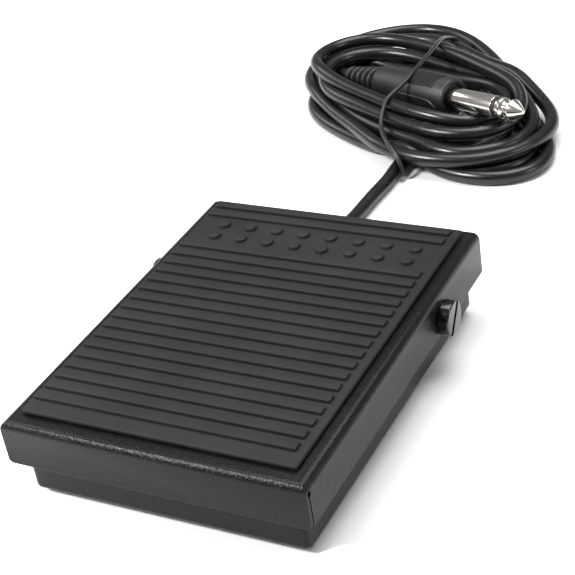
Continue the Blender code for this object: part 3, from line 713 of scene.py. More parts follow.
@dataclass
class FoldedSheet:
    """A tray or cap folded from sheet, open on some sides."""

    low: Vector
    high: Vector
    dropped: tuple[Point, ...]
    sheet: float = 0.0012
    bend: float = 0.0019
    cut_edge: float = 0.00018
    square_corners: bool = False

    def make(self, name: str, material: Material) -> Object:
        """Fold the sheet.

        Args:
            name: the piece's name.
            material: its finish.

        Returns:
            The piece.
        """
        bm = bmesh.new()
        size = Matrix.Diagonal((self.high - self.low).to_4d())
        bmesh.ops.create_cube(bm, size=1, matrix=Matrix.Translation((self.low + self.high) / 2) @ size)
        bm.normal_update()
        gone = [f for f in bm.faces if any(f.normal.dot(Vector(d)) > 0.9 for d in self.dropped)]
        bmesh.ops.delete(bm, geom=gone, context="FACES")
        weight = bm.edges.layers.float.new("bevel_weight_edge")
        for edge in bm.edges:
            upright = abs(edge.verts[0].co.z - edge.verts[1].co.z) > self.sheet
            edge[weight] = 0.0 if edge.is_boundary or (upright and self.square_corners) else 1.0
        piece = raw(name, bm, material)
        bevel = piece.modifiers.new("bend", "BEVEL")
        bevel.width, bevel.segments, bevel.limit_method = self.bend, 8, "WEIGHT"
        solid = piece.modifiers.new("sheet", "SOLIDIFY")
        solid.thickness, solid.offset, solid.use_even_offset = self.sheet, -1, True
        edge = piece.modifiers.new("edge", "BEVEL")
        edge.width, edge.segments = self.cut_edge, 2
        edge.limit_method, edge.angle_limit = "ANGLE", math.radians(60)
        return applied(piece)


@dataclass
class Treadle:
    """The folded foot plate, with its flanges, front corner seams and reliefs."""

    half_width: float = 0.03795
    half_length: float = 0.050
    top: float = TREADLE_TOP
    flange_bottom: float = 0.01062
    hole: float = 0.0028
    sheet: float = 0.0012
    seam: float = 0.0004
    relief: float = 0.0007
    relief_drop: float = 0.0026
    corner: float = 0.0016

    def build(self, finishes: Finishes) -> Object:
        """Make the foot plate.

        Args:
            finishes: the pedal's finishes.

        Returns:
            The piece.
        """
        wide, long = self.half_width, self.half_length
        fold = FoldedSheet(Vector((-wide, -long, self.flange_bottom)), Vector((wide, long, self.top)),
                           ((0, 0, -1), (0, 1, 0)), self.sheet, square_corners=True)
        plate = fold.make("foot_plate", finishes.powder)
        spare = finishes.powder
        tools = [hinge_tool(self.hole, spare)]
        back, eye = -long + self.sheet, self.top - self.relief_drop
        for side in (-1, 1):
            low, high = sorted((side * (wide - self.sheet - 0.0006), side * (wide + 0.001)))
            tools.append(box_tool((low, back, self.flange_bottom - 0.001),
                                  (high, back + self.seam, eye - 0.0002), spare))
            tools.append(rod_tool((low, back + 0.0003, eye), (high, back + 0.0003, eye), self.relief, spare))
            tools.append(self._corner_tool(side, spare))
        return cut(plate, tools)

    def _corner_tool(self, side: int, material: Material) -> Object:
        """A tool that rounds a lower corner of the front flange, seen from the front.

        Args:
            side: -1 for the left corner, 1 for the right.
            material: any finish.

        Returns:
            The tool.
        """
        radius, reach = self.corner, 0.001
        outline = [(-radius, -reach), (reach, -reach), (reach, radius),
                   *arc(-radius, radius, radius, 0, -90, 8)]
        outline = [(side * (self.half_width + x), self.flange_bottom + z) for x, z in outline]
        front = -self.half_length
        tool = extruded("corner_tool", outline, front - reach, front + self.sheet + 0.0003, material)
        tool.data.transform(Matrix(((0, 1, 0, 0), (1, 0, 0, 0), (0, 0, 1, 0), (0, 0, 0, 1))))
        return flipped_out(tool)


@dataclass
class BaseTray:
    """The folded base, its walls sloping up to the pivots."""

    half_width: float = 0.0352
    front: float = -0.0473
    rear: float = 0.04775
    bottom: float = 0.0012
    walls: tuple[float, float, float] = (0.0127, 0.0190, 0.0182)
    knees: tuple[float, float] = (-0.046, 0.045)
    pivot_flat: float = 0.004
    pivot_hole: float = 0.0028
    cord_hole: tuple[float, float, float] = (-0.012, 0.0092, 0.0040)
    screw_hole: float = 0.0016
    floor_holes: tuple[tuple[float, float], ...] = ((0.0208, -0.0051), (0.0208, 0.0019), (-0.0055, 0.0295))

    def build(self, finishes: Finishes) -> Object:
        """Make the tray with its holes.

        Args:
            finishes: the pedal's finishes.

        Returns:
            The piece.
        """
        # The darker powder coat of the base is painted shade under the treadle.
        spare = finishes.shaded_base_powder
        fold = FoldedSheet(Vector((-self.half_width, self.front, self.bottom)),
                           Vector((self.half_width, self.rear, 0.022)), ((0, 0, 1),), bend=0.0018)
        tray = fold.make("base_shell", spare)
        low, mid, high = self.walls
        reach, above = 0.060, 0.03
        slope = [(-reach, low), (self.knees[0], low), (PIVOT.y - self.pivot_flat, mid),
                 (PIVOT.y + self.pivot_flat, mid), (self.knees[1], high), (reach, high), (reach, above),
                 (-reach, above)]
        x, z, radius = self.cord_hole
        tools = [extruded("slope_tool", slope, -0.05, 0.05, spare), hinge_tool(self.pivot_hole, spare),
                 rod_tool((x, 0.040, z), (x, reach, z), radius, spare)]
        for x, y in self.floor_holes:
            tools.append(rod_tool((x, y, -0.001), (x, y, 0.0032), self.screw_hole, spare))
        return cut(tray, tools)


@dataclass
class FootMat:
    """The moulded mat: a sheet, cross ribs and two rows of round studs."""

    half_width: float = 0.0343
    front: float = -0.0458
    rear: float = 0.0483
    low: float = TREADLE_TOP + 0.0003
    thick: float = 0.0011
    rise: float = 0.0008
    root: float = 0.0004
    rib_width: float = 0.0027
    rib_ends: tuple[float, float] = (-0.0337, 0.0321)
    rib_pitch: float = 0.0041456
    rib_count: int = 17
    last_front_rib: float = 0.02481
    rear_rib: float = 0.04028
    rear_pitch: float = 0.00411
    stud_rows: tuple[float, float] = (0.0312, 0.0367)
    stud_columns: int = 8
    stud_pitch: float = 0.0076

    def build(self, finishes: Finishes) -> list[Object]:
        """Make the mat's sheet, its ribs and its studs.

        Args:
            finishes: the pedal's finishes.

        Returns:
            The pieces, sheet first.
        """
        rubber = finishes.mat
        face, crown = self.low + self.thick, self.low + self.thick + self.rise
        outline = [(self.front, self.low), (self.rear, self.low), (self.rear, face), (self.front, face)]
        sheet = extruded("mat_sheet", outline, -self.half_width, self.half_width, rubber, 0.0004, 4)
        pieces = [sheet]
        first = self.last_front_rib - self.rib_pitch * (self.rib_count - 1)
        for name, start, count, pitch in (("mat_ribs", first, self.rib_count, self.rib_pitch),
                                          ("mat_rear_ribs", self.rear_rib, 2, self.rear_pitch)):
            unit = self._rib(face, crown, rubber)
            pieces.append(row_of_copies(name, unit, count, pitch, (0, start, 0), rubber))
        tall = crown - face
        profile = [(0, 0), (0.0016, 0), (0.00155, tall - 0.0001), (0.00140, tall + 0.0003),
                   (0.00120, tall + self.root), (0, tall + self.root)]
        stud = lathe("mat_stud", profile, Matrix.Translation((0, 0, face - self.root)), rubber, 24)
        (first_row, last_row), left = self.stud_rows, -(self.stud_columns - 1) / 2 * self.stud_pitch
        pieces.append(row_of_copies("mat_studs", stud, 2, last_row - first_row, (left, first_row, 0), rubber,
                                    self.stud_columns, self.stud_pitch))
        return [flipped_out(piece) for piece in pieces]

    def _rib(self, face: float, crown: float, rubber: Material) -> Object:
        """One rib with drafted sides and eased edges, its front face at y = 0."""
        draft = 0.00012
        outline = [(0, face - self.root), (self.rib_width, face - self.root), (self.rib_width - draft, crown),
                   (draft, crown)]
        return extruded("mat_rib", outline, self.rib_ends[0], self.rib_ends[1], rubber, 0.00022, 3)


@dataclass
class Pivot:
    """A slotted cheese-head screw in each side, on the hinge line."""

    shank: float = 0.0025
    head: float = 0.0044
    face: float = 0.0410
    head_inner: float = 0.03825
    shank_end: float = 0.0288
    slot_width: float = 0.0013
    slot_depth: float = 0.0015
    slot_lean: float = math.radians(36)

    def build(self, side: str, finishes: Finishes) -> Object:
        """Make one screw.

        Args:
            side: "left" or "right".
            finishes: the pedal's finishes.

        Returns:
            The piece.
        """
        sign = 1 if side == "right" else -1
        place = Matrix.Translation(PIVOT) @ Matrix.Rotation(sign * math.pi / 2, 4, "Y")
        edge, small, point = 0.0005, 0.0002, 0.0004
        profile = [(0, self.face), *arc(self.head - edge, self.face - edge, edge, 90, 0, 6),
                   (self.head, self.head_inner + small), (self.head - small, self.head_inner),
                   (self.shank, self.head_inner), (self.shank, self.shank_end + point),
                   (self.shank - point, self.shank_end), (0, self.shank_end)]
        screw = lathe(f"hinge_screw_{side}", profile, place, finishes.blacked, 72)
        reach = self.head + 0.001
        tool = box_tool((self.face - self.slot_depth, -self.slot_width / 2, -reach),
                        (self.face + 0.001, self.slot_width / 2, reach), finishes.blacked)
        turn = Matrix.Rotation(0 if side == "right" else math.pi, 4, "Z")
        turn = turn @ Matrix.Rotation(-self.slot_lean, 4, "X")
        tool.data.transform(Matrix.Translation(PIVOT) @ turn)
        return cut(screw, [tool])


# --------------------------------------------------------------------------------------------------
# Spring


@dataclass
class ReturnSpring:
    """The compression spring, a helix made by a geometry tree."""

    middle: tuple[float, float] = (0.0, -0.028)
    radius: float = 0.0054
    wire: float = 0.0006
    turns: float = 6.5

    def build(self, finishes: Finishes) -> Object:
        """Make the spring between the floor seat and the treadle's cup.

        Args:
            finishes: the pedal's finishes.

        Returns:
            The piece.
        """
        low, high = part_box("return_spring")
        length = float(high[2] - low[2] - 2 * self.wire)
        sizes = {"Turns": self.turns, "Coil radius": self.radius, "Wire radius": self.wire, "Length": length}
        grow = Repeat("coil_spring", {**sizes, "Finish": finishes.zinc})
        helix = grow.add("GeometryNodeCurveSpiral", None,
                         {"Resolution": 40, "Rotations": grow["Turns"], "Start Radius": grow["Coil radius"],
                          "End Radius": grow["Coil radius"], "Height": grow["Length"]})
        ring = grow.add("GeometryNodeCurvePrimitiveCircle", {"mode": "RADIUS"},
                        {"Resolution": 12, "Radius": grow["Wire radius"]})
        wire = grow.add("GeometryNodeCurveToMesh", None,
                        {"Curve": helix, "Profile Curve": ring, "Fill Caps": True})
        placed = grow.add("GeometryNodeTransform", None,
                          {"Geometry": wire, "Translation": (*self.middle, low[2] + self.wire)})
        return flipped_out(grow.finish(placed))


# --------------------------------------------------------------------------------------------------
# Lead, plug and tie


def smooth_route(knots: np.ndarray, spacing: float) -> np.ndarray:
    """Points on a smooth curve through knots.

    Args:
        knots: the points to pass through.
        spacing: about how far apart the results lie.

    Returns:
        The points.
    """
    ends = [2 * knots[0] - knots[1], *knots, 2 * knots[-1] - knots[-2]]
    route = []
    for a, b, c, d in zip(ends, ends[1:], ends[2:], ends[3:]):
        steps = max(1, round(float(np.linalg.norm(c - b)) / spacing))
        for i in range(steps):
            t = i / steps
            route.append(0.5 * (2 * b + (c - a) * t + (2 * a - 5 * b + 4 * c - d) * t * t
                                + (3 * b - a - 3 * c + d) * t ** 3))
    return np.array([*route, knots[-1]])


def evenly(points: np.ndarray, spacing: float) -> np.ndarray:
    """Points an even distance apart along a line of points."""
    run = np.concatenate([[0.0], np.cumsum(np.linalg.norm(np.diff(points, axis=0), axis=1))])
    at = np.linspace(0, run[-1], int(round(run[-1] / spacing)) + 1)
    return np.stack([np.interp(at, run, points[:, k]) for k in range(3)], 1)


@dataclass(frozen=True)
class Turn:
    """One turn of the bundle: a rounded oval about the bundle's middle, in millimetres and degrees."""

    along: float
    across: float
    half_length: float
    half_width: float
    tilt: float
    taper: float
    height: float

    def mixed(self, other: "Turn", share: float) -> "Turn":
        """A turn part of the way to another."""
        mine, theirs = vars(self).values(), vars(other).values()
        return Turn(*(a * (1 - share) + b * share for a, b in zip(mine, theirs)))


@dataclass
class PhonePlug:
    """The quarter-inch plug: ribbed boot, grained barrel, sleeve, insulating ring and tip on one line."""

    tail: tuple[float, float, float] = (-0.0470, 0.1560, 0.0074)
    heading: float = math.radians(-25)
    rise: float = math.radians(7)
    boot_length: float = 0.017
    boot_radii: tuple[float, float] = (0.0028, 0.0049)
    barrel_length: float = 0.033
    barrel_radius: float = 0.00575
    recess: float = 0.0012
    sleeve_length: float = 0.019
    sleeve_radius: float = 0.003175
    ring_length: float = 0.0012
    tip_length: float = 0.009
    gap: float = 0.0003
    boot_rings: int = 5
    boot_pitch: float = 0.0031
    ridges: int = 10
    ridge_pitch: float = 0.00118

    @property
    def axis(self) -> np.ndarray:
        """The unit vector from tail to tip."""
        flat = math.cos(self.rise)
        return np.array([math.cos(self.heading) * flat, math.sin(self.heading) * flat, math.sin(self.rise)])

    @property
    def length(self) -> float:
        """From tail to tip."""
        return self.sleeve_start + self.sleeve_length + self.ring_length + 2 * self.gap + self.tip_length

    @property
    def sleeve_start(self) -> float:
        """Where the sleeve comes out of the barrel."""
        return self.boot_length + self.barrel_length - self.recess + 2 * self.gap

    def radius_at(self, run: np.ndarray) -> np.ndarray:
        """The plug's radius at distances from its tail."""
        thin, thick = self.boot_radii
        boot = thin + (thick - thin) * np.clip(run / self.boot_length, 0, 1)
        barrel_end = self.boot_length + self.gap + self.barrel_length
        return np.where(run < self.boot_length, boot, np.where(run < barrel_end, self.barrel_radius,
                                                               self.sleeve_radius))

    def around(self, points: np.ndarray) -> tuple[np.ndarray, np.ndarray, np.ndarray]:
        """How points lie from the plug.

        Args:
            points: the points.

        Returns:
            For each point, the vector to it from the axis, that vector's length and the plug's radius there.
        """
        tail, axis = np.array(self.tail), self.axis
        run = np.clip((points - tail) @ axis, 0, self.length)
        away = points - (tail + run[:, None] * axis)
        return away, np.linalg.norm(away, axis=1), self.radius_at(run)

    def at(self, run: float) -> Matrix:
        """The plug's frame at a distance from its tail, Z along it and X nearly upright."""
        forward = Vector(self.axis)
        side = Vector((0, 0, 1)).cross(forward).normalized()
        up = forward.cross(side)
        turn = Matrix((up, side, forward)).transposed().to_4x4()
        return Matrix.Translation(Vector(self.tail) + forward * run) @ turn

    def build(self, finishes: Finishes) -> dict[str, Object]:
        """Make the plug's pieces.

        Args:
            finishes: the pedal's finishes.

        Returns:
            The pieces, by the frame node that each stands for.
        """
        plastic, nickel = finishes.plug_plastic, finishes.nickel
        pieces = {"plug_boot": self._boot(plastic), "plug_barrel": self._barrel(plastic)}
        sleeve, ease, long = self.sleeve_radius, 0.00025, self.sleeve_length
        profile = [(0, 0), (sleeve, 0), (sleeve, long - ease), (sleeve - ease * 0.3, long - ease * 0.3),
                   (sleeve - ease, long), (0, long)]
        pieces["plug_sleeve"] = lathe("jack_sleeve", profile, self.at(self.sleeve_start), nickel, 72)
        start = self.sleeve_start + long + self.gap
        profile = [(0, 0), (sleeve - 0.0001, 0), (sleeve - 0.0001, self.ring_length), (0, self.ring_length)]
        pieces["plug_insulator"] = lathe("jack_ring", profile, self.at(start), finishes.black_plastic, 64)
        start += self.ring_length + self.gap
        profile = [(0, 0), (0.0031, 0), (0.0031, 0.0011), (0.0030, 0.0014), (0.0026, 0.0016),
                   (0.00215, 0.0020), (0.0020, 0.0023), (0.0021, 0.0027), (0.0026, 0.0036), (0.0031, 0.0046),
                   (0.0032, 0.0050), (0.0031, 0.0053), (0.0019, 0.0071), (0.0008, 0.0086), (0.0005, 0.0089),
                   (0, self.tip_length)]
        pieces["plug_tip"] = lathe("jack_tip", profile, self.at(start), nickel, 72, 50.0)
        return pieces

    def _boot(self, plastic: Material) -> Object:
        """The tapered strain relief with its rings."""
        (thin, thick), long = self.boot_radii, self.boot_length
        first, groove, swell, step_up = 0.0012, 0.0012, 0.0015, 0.00033
        profile: list[tuple[float, float]] = [(0, 0), (thin - 0.0005, 0), (thin, 0.0005)]
        slope = (thick - thin) / long
        for i in range(self.boot_rings):
            low = first + i * self.boot_pitch
            wide = thin + slope * (low + 0.001)
            for step, share in enumerate((0.0, 0.55, 0.9, 1.0, 0.9, 0.55, 0.0)):
                profile.append((wide - groove + swell * share, low + step * step_up))
        profile += [(thick - 0.0006, long - 0.0002), (thick - 0.0006, long), (0, long)]
        return lathe("plug_relief", profile, self.at(0), plastic, 56, 50.0)

    def _barrel(self, plastic: Material) -> Object:
        """The barrel with its grip ridges, raised outline and recessed front."""
        radius, long, recess = self.barrel_radius, self.barrel_length, self.recess
        ease = 0.0011
        lip = ((0, 0.0006), (0.0003, 0.0001), (0.0008, 0), (0.0015, 0.0002), (0.0017, recess))
        profile = [(0, 0), *arc(radius - ease, ease, ease, -90, 0, 6),
                   *((radius - x, long - z) for x, z in lip), (0, long - recess)]
        barrel = lathe("plug_handle", profile, self.at(self.boot_length + self.gap), plastic, 96, 40.0)
        return joined("plug_handle", [barrel, self._ridges(plastic), self._contour(plastic)])

    def _ridges(self, plastic: Material) -> Object:
        """Small ridges across the top of the barrel, repeated along it by a geometry tree."""
        half = [(0.0054, -0.00034), (0.00585, -0.00034), (0.00617, -0.00014)]
        unit = lathe("ridge", half + [(x, -z) for x, z in reversed(half)], Matrix.Identity(4), plastic, 96)
        middle, keep = math.radians(-10), math.radians(38)
        bm = bmesh.new()
        bm.from_mesh(unit.data)
        gone = [v for v in bm.verts if abs(math.atan2(v.co.y, v.co.x) - middle) > keep]
        bmesh.ops.delete(bm, geom=gone, context="VERTS")
        bmesh.ops.holes_fill(bm, edges=[e for e in bm.edges if e.is_boundary], sides=12)
        bm.to_mesh(unit.data)
        bm.free()
        quarter, first = math.pi / 2, self.boot_length + 0.0175
        unit.data.transform(Matrix.Rotation(-quarter, 4, "X"))
        ridges = row_of_copies("grip_ridges", unit, self.ridges, self.ridge_pitch, (0, 0, 0), plastic)
        ridges.data.transform(self.at(first) @ Matrix.Rotation(quarter, 4, "X"))
        return flipped_out(ridges)

    def _contour(self, plastic: Material) -> Object:
        """A fine raised line along the lower side of the barrel that turns down towards the front."""
        knots, reach = [], self.barrel_radius + 0.00002
        for run, turn in ((0.0135, -78), (0.016, -80), (0.022, -82), (0.0262, -84), (0.0285, -90),
                          (0.0295, -99), (0.0305, -108)):
            angle = math.radians(turn)
            out = Vector((reach * math.cos(angle), reach * math.sin(angle), 0))
            knots.append(np.array(self.at(self.boot_length + run) @ out))
        return pipe("raised_line", smooth_route(np.array(knots), 0.0006), 0.00036, plastic, 8)


def joined(name: str, parts: Sequence[Object]) -> Object:
    """Join pieces of one finish into one."""
    bm = bmesh.new()
    for part in parts:
        bm.from_mesh(part.data)
    material = parts[0].data.materials[0]
    for part in parts:
        bpy.data.objects.remove(part, do_unlink=True)
    return shaded(raw(name, bm, material), 40.0)


@dataclass
class Lead:
    """The lead: out of the rear wall, along the floor and wound into the bundle round its plug."""

    plug: PhonePlug
    radius: float = CORD_RADIUS
    middle: tuple[float, float] = (-0.0185, 0.1465)
    heading: float = math.radians(-25)
    roundness: float = 2.6
    first_turn: float = 0.33
    last_turn: float = 8.47
    handover: float = 0.3
    spacing: float = 0.004
    points_round: int = 64
    held_start: int = 17
    held_end: int = 3
    into_plug: float = 0.0003
    steps: int = 700
    weight: float = 0.00002
    memory: float = 0.04
    stiffness: float = 0.4
    route: tuple[Point, ...] = (
        (-0.0120, 0.04985, 0.0092), (-0.0120, 0.0560, 0.0089), (-0.0120, 0.0640, 0.0062),
        (-0.0120, 0.0720, 0.0034), (-0.0119, 0.0800, 0.0022), (-0.0115, 0.0920, 0.0022),
        (-0.0109, 0.1020, 0.0022), (-0.0112, 0.1113, 0.0022), (-0.0113, 0.1250, 0.0023),
        (-0.0125, 0.1420, 0.0023), (-0.0190, 0.1620, 0.0023))
    turns: tuple[Turn, ...] = (
        Turn(9, 1.6, 47.5, 28.0, -14, .42, 2.2), Turn(6, 1.0, 44, 21.5, -12, .2, 2.2),
        Turn(1, 0.5, 35, 15.5, -8, .1, 2.3), Turn(0, -1, 29, 10, -4, 0, 2.4),
        Turn(-2.0, 6.8, 51.5, 30.3, -16.5, 0, 6.4), Turn(0.5, 3.0, 46.5, 24, -14, .2, 7.3),
        Turn(1.5, -1.5, 37.5, 18.0, 0, 0, 10.4), Turn(-5.0, 1.6, 37.5, 18.2, 0.5, 0, 13.0),
        Turn(-9, 2, 30, 10.5, 6, 0, 5.5))

    def _goal(self) -> np.ndarray:
        """Where the wound part would lie if its turns didn't press on each other.

        Returns:
            Points round the turns, from the bottom to the top.
        """
        points = []
        for i in range(int((self.last_turn - self.first_turn) * self.points_round) + 1):
            run = i / self.points_round
            low = min(int(run), len(self.turns) - 1)
            share = min(max((run - int(run) - 1 + self.handover) / self.handover, 0.0), 1.0)
            share = share * share * (3 - 2 * share)
            turn = self.turns[low].mixed(self.turns[min(low + 1, len(self.turns) - 1)], share)
            points.append(self._on(turn, 2 * math.pi * (self.first_turn + run)))
        return np.array(points)

    def _on(self, turn: Turn, angle: float) -> tuple[float, float, float]:
        """The point of a turn at an angle."""
        c, s = math.cos(angle), math.sin(angle)
        power = 2 / self.roundness
        x = turn.half_length * math.copysign(abs(c) ** power, c)
        y = turn.half_width * (1 - turn.taper * x / turn.half_length) * math.copysign(abs(s) ** power, s)
        tilt = math.radians(turn.tilt)
        u = (turn.along + x * math.cos(tilt) - y * math.sin(tilt)) * 1e-3
        w = (turn.across + x * math.sin(tilt) + y * math.cos(tilt)) * 1e-3
        c, s = math.cos(self.heading), math.sin(self.heading)
        return (self.middle[0] + u * c - w * s, self.middle[1] + u * s + w * c, turn.height * 1e-3)

    def wind(self) -> np.ndarray:
        """Lay the lead and let it settle on the floor, on the plug and on itself.

        Returns:
            Points of its centreline.
        """
        tail, axis = np.array(self.plug.tail), self.plug.axis
        into = np.array([tail - axis * x for x in (0.0123, 0.0083, 0.0043, self.into_plug)])
        knots = np.vstack([np.array(self.route), self._goal()[4::6], into])
        goal = evenly(smooth_route(knots, 0.002), self.spacing)
        held = np.zeros(len(goal), bool)
        held[:self.held_start] = held[-self.held_end:] = True
        for k in range(4):
            goal[-1 - k] = tail - axis * (self.into_plug + self.spacing * k)
        segments = np.linalg.norm(np.diff(goal, axis=0), axis=1)
        return self._settle(goal, held, segments)

    def _settle(self, goal: np.ndarray, held: np.ndarray, segments: np.ndarray) -> np.ndarray:
        """Relax the line under its weight, stiffness and contacts.

        Args:
            goal: where each point starts and is drawn to.
            held: the points that don't move.
            segments: the length of each step of the line.

        Returns:
            The settled points.
        """
        wide, lowest = 2 * self.radius, self.radius + 0.0002
        points, free = goal.copy(), ~held[:, None]
        first, second = np.triu_indices(len(points), k=5)
        for step in range(self.steps):
            if step % 8 == 0:
                apart = points[first] - points[second]
                near = (apart ** 2).sum(1) < (wide * 2.2) ** 2
                i, j = first[near], second[near]
            share = step / self.steps
            points[:, 2] -= np.where(held, 0, self.weight * (1 - 0.5 * share))
            points += np.where(free, (goal - points) * self.memory * (1 - 0.75 * share), 0)
            self._stiffen(points, free)
            for _ in range(2):
                self._touch(points, free, i, j, wide)
                self._clear_plug(points, held)
                points[:, 2] = np.where(held, points[:, 2], np.maximum(points[:, 2], lowest))
            for _ in range(3):
                run = np.diff(points, axis=0)
                size = np.linalg.norm(run, axis=1)
                pull = run * ((size - segments) / np.maximum(size, 1e-9) * 0.45)[:, None]
                shift = np.zeros_like(points)
                shift[:-1] += pull
                shift[1:] -= pull
                points += np.where(free, shift, 0)
        return points

    def _stiffen(self, points: np.ndarray, free: np.ndarray) -> None:
        """Even out the curvature, as bending stiffness does."""
        bend, change = np.zeros_like(points), np.zeros_like(points)
        bend[1:-1] = (points[:-2] + points[2:]) / 2 - points[1:-1]
        change[1:-1] = (bend[:-2] + bend[2:]) / 2 - bend[1:-1]
        points -= np.where(free, change * self.stiffness, 0)

    @staticmethod
    def _touch(points: np.ndarray, free: np.ndarray, i: np.ndarray, j: np.ndarray, wide: float) -> None:
        """Push crossing stretches apart to a diameter.

        Args:
            points: the line, which is changed.
            free: which points may move.
            i: the first point of each near pair.
            j: the second point of each near pair.
            wide: the cord's diameter.
        """
        apart = points[i] - points[j]
        size = np.sqrt((apart ** 2).sum(1))
        hit = size < wide
        if not hit.any():
            return
        push = (apart[hit] / np.maximum(size[hit], 1e-6)[:, None]) * ((wide - size[hit]) * 0.5)[:, None]
        total, count = np.zeros_like(points), np.zeros(len(points))
        np.add.at(total, i[hit], push)
        np.add.at(total, j[hit], -push)
        np.add.at(count, i[hit], 1)
        np.add.at(count, j[hit], 1)
        points += np.where(free, total / np.sqrt(np.maximum(count, 1))[:, None], 0)

    def _clear_plug(self, points: np.ndarray, held: np.ndarray) -> None:
        """Push the line out of the plug."""
        away, size, plug_radius = self.plug.around(points)
        clear = plug_radius + self.radius + 0.0001
        hit = (size < clear) & ~held
        points[hit] += away[hit] / np.maximum(size[hit], 1e-6)[:, None] * ((clear - size)[hit] * 0.6)[:, None]

    def build(self, finishes: Finishes) -> tuple[Object, np.ndarray, np.ndarray]:
        """Make the lead.

        Args:
            finishes: the pedal's finishes.

        Returns:
            The piece, its fine centreline and the coarse line that it settled on.
        """
        line = self.wind()
        fine = smooth_route(line, 0.0014)
        return pipe("lead", fine, self.radius, finishes.jacket, 20), fine, line


@dataclass
class WireTie:
    """The thin covered wire that holds the bundle, round the lead and over the barrel of the plug."""

    radius: float = 0.0007
    steps: int = 200
    memory: float = 0.03
    stiffness: float = 0.25
    guide: tuple[Point, ...] = (
        (-0.0212, 0.1874, 0.0030), (-0.0226, 0.1875, 0.0062), (-0.0230, 0.1852, 0.0090),
        (-0.0225, 0.1800, 0.0116), (-0.0210, 0.1730, 0.0143), (-0.0197, 0.1672, 0.0156),
        (-0.0184, 0.1570, 0.0168), (-0.0173, 0.1460, 0.0179), (-0.0171, 0.1415, 0.0182),
        (-0.0172, 0.1377, 0.0174), (-0.0188, 0.1342, 0.0163), (-0.0207, 0.1308, 0.0153),
        (-0.0216, 0.1271, 0.0137), (-0.0213, 0.1240, 0.0123), (-0.0207, 0.1212, 0.0104),
        (-0.0192, 0.1176, 0.0096), (-0.0157, 0.1129, 0.0097), (-0.0124, 0.1094, 0.0085),
        (-0.0092, 0.1076, 0.0078), (-0.0080, 0.1064, 0.0055), (-0.0078, 0.1063, 0.0022))

    def build(self, lead: np.ndarray, cord_radius: float, plug: PhonePlug, finishes: Finishes) -> Object:
        """Lay the wire round the bundle, outside the lead and the plug.

        Args:
            lead: the lead's centreline.
            cord_radius: the lead's radius.
            plug: the plug.
            finishes: the pedal's finishes.

        Returns:
            The piece.
        """
        line = evenly(smooth_route(np.array(self.guide), 0.001), 0.0015)
        goal, rows = line.copy(), np.arange(len(line))
        for _ in range(self.steps):
            line += (goal - line) * self.memory
            line[1:-1] += ((line[:-2] + line[2:]) / 2 - line[1:-1]) * self.stiffness
            apart = line[:, None] - lead[None]
            size = np.linalg.norm(apart, axis=2)
            nearest = size.argmin(axis=1)
            short = np.maximum(cord_radius + self.radius - size[rows, nearest], 0)
            line += apart[rows, nearest] / size[rows, nearest][:, None] * short[:, None]
            away, reach, plug_radius = plug.around(line)
            short = np.maximum(plug_radius + self.radius - reach, 0)
            line += away / reach[:, None] * short[:, None]
            line[:, 2] = np.maximum(line[:, 2], self.radius)
        return pipe("bundle_tie", smooth_route(line, 0.0005), self.radius, finishes.tie, 10)


# --------------------------------------------------------------------------------------------------
# Stage


@dataclass(frozen=True)
class SoftBox:
    """A square soft light aimed at the pedal: its place, width and watts."""

    name: str
    place: tuple[float, float, float]
    size: float
    power: float

    def make(self) -> Object:
        """Build the light."""
        data = bpy.data.lights.new(self.name, "AREA")
        data.shape, data.size, data.energy = "SQUARE", self.size, self.power
        made = in_scene(self.name, data)
        turn = (Vector((0, 0.05, 0)) - Vector(self.place)).to_track_quat("-Z", "Y").to_matrix().to_4x4()
        made.matrix_world = Matrix.Translation(self.place) @ turn
        return made


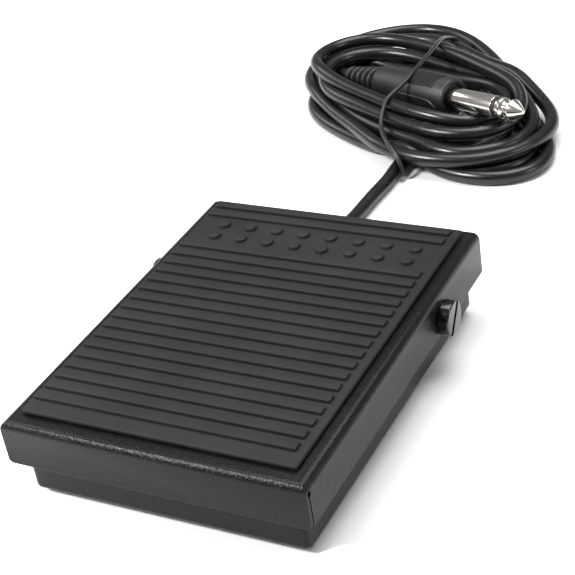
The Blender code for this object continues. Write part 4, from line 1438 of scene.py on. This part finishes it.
@dataclass
class Studio:
    """A pale floor, soft light and the camera."""

    position: tuple[float, float, float] = (0.161457, -0.246032, 0.214736)
    azimuth: float = math.radians(32.33)
    elevation: float = math.radians(32.12)
    roll: float = -0.1748
    lens: float = 94.34
    shift: tuple[float, float] = (0.0364, 0.0045)
    room_light: float = 0.28
    backdrop_extra: float = 0.62
    boxes: tuple[SoftBox, ...] = (
        SoftBox("top_box", (0.10, 0.35, 1.20), 0.9, 17.0),
        SoftBox("key_box", (-0.56, -0.64, 0.88), 0.26, 19.0),
        SoftBox("left_box", (-1.0, 0.30, 0.60), 0.5, 3.0),
        SoftBox("right_box", (1.0, 0.10, 0.50), 0.4, 2.5))

    def camera(self) -> Object:
        """Make the camera and set it as the scene's."""
        data = bpy.data.cameras.new("studio_camera")
        data.lens, data.sensor_width = self.lens, 36.0
        data.shift_x, data.shift_y = self.shift
        data.clip_start, data.clip_end = 0.01, 10.0
        made = in_scene("studio_camera", data)
        ca, sa, ce, se = (math.cos(self.azimuth), math.sin(self.azimuth), math.cos(self.elevation),
                          math.sin(self.elevation))
        right, back = Vector((ca, sa, 0)), Vector((sa * ce, -ca * ce, se))
        up = back.cross(right)
        cr, sr = math.cos(self.roll), math.sin(self.roll)
        turn = Matrix((right * cr + up * sr, up * cr - right * sr, back)).transposed().to_4x4()
        made.matrix_world = Matrix.Translation(self.position) @ turn
        bpy.context.scene.camera = made
        return made

    def lights(self) -> None:
        """Make the soft boxes and the pale surround."""
        for box in self.boxes:
            box.make()
        world = bpy.data.worlds.new("pale_room")
        world.use_nodes = True
        room = Tree(world.node_tree)
        seen = room.add("ShaderNodeLightPath", output="Is Camera Ray")
        background = world.node_tree.nodes["Background"]
        background.inputs["Color"].default_value = (0.95, 0.97, 1.0, 1.0)
        strength = self.room_light + seen * self.backdrop_extra
        world.node_tree.links.new(strength.socket, background.inputs["Strength"])
        bpy.context.scene.world = world
        bpy.context.scene.view_settings.view_transform = "Standard"

    def floor(self) -> Object:
        """Make the floor."""
        paint = Paint("floor_white")
        paint.set(Base_Color=(0.93, 0.93, 0.93, 1.0), Roughness=0.6, Specular_IOR_Level=0.2)
        bm = bmesh.new()
        bmesh.ops.create_grid(bm, x_segments=1, y_segments=1, size=3.0)
        floor = raw("floor", bm, paint.material)
        return floor


# --------------------------------------------------------------------------------------------------
# Putting it together


def set_up(piece: Object, body: Body, slot: str, *nodes: str) -> Object:
    """Make a piece ride on its body and stand for frame nodes.

    Args:
        piece: the piece.
        body: what it moves with.
        slot: not used.
        nodes: the frame nodes that it stands for.

    Returns:
        The piece.
    """
    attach(piece, body.value)
    if nodes:
        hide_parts(*nodes)
    log.info("%s: %d faces, on %s", piece.name, len(piece.data.polygons), body.value)
    return piece


def dress_frame(finishes: Finishes) -> None:
    """Give the frame nodes that stay in view their finishes."""
    starts = {
        finishes.feet: ("foot_", "rear_bumper_", "stop_buffer_", "cord_grommet"),
        finishes.nylon: ("pivot_washer_", "switch_plunger", "actuator"),
        finishes.zinc: ("pivot_nut_", "spring_cup", "switch_bracket", "switch_screw_", "bracket_screw_",
                        "clamp_screw", "switch_lever"),
        finishes.black_plastic: ("spring_seat", "switch_body", "cord_clamp"),
        finishes.brass: ("switch_terminal_",),
        finishes.jacket: ("cord_inner",),
        finishes.red_wire: ("wire_red",),
        finishes.white_wire: ("wire_white",),
    }
    for material, start in starts.items():
        names = [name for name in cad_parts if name.startswith(start)]
        for name in names:
            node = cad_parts[name]
            node.data.materials.clear()
            node.data.materials.append(material)
        log.info("%s: %s", material.name, ", ".join(names))


def main() -> None:
    """Build the pedal's looks."""
    logging.basicConfig(level=logging.INFO, format="%(name)s %(message)s")
    studio = Studio()
    studio.camera()
    finishes = Finishes()
    plug = PhonePlug()
    cord = Lead(plug)
    lead, fine, line = cord.build(finishes)
    set_up(lead, Body.BASE, "cord_jacket", "cord_lead", "cord_coil", "cord_tail")
    slots = {"plug_boot": "plug_plastic", "plug_barrel": "plug_plastic", "plug_sleeve": "nickel",
             "plug_insulator": "black_plastic", "plug_tip": "nickel"}
    attached = [set_up(piece, Body.BASE, slots[node], node) for node, piece in plug.build(finishes).items()]
    tie = WireTie().build(fine, cord.radius, plug, finishes)
    attached.append(set_up(tie, Body.BASE, "tie_wire", "cord_tie"))

    set_up(Treadle().build(finishes), Body.TREADLE, "powder_coat", "treadle")
    set_up(BaseTray().build(finishes), Body.BASE, "powder_coat", "base_tray")
    spring = ReturnSpring().build(finishes)
    set_up(spring, Body.BASE, "zinc", "return_spring")
    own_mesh(spring)
    for i, piece in enumerate(FootMat().build(finishes)):
        set_up(piece, Body.TREADLE, "mat_rubber", *(["treadle_mat"] if i == 0 else []))
    for side in ("left", "right"):
        set_up(Pivot().build(side, finishes), Body.BASE, "black_steel", f"pivot_screw_{side}")
    dress_frame(finishes)
    studio.lights()
    studio.floor()


if __name__ == "__main__":
    main()
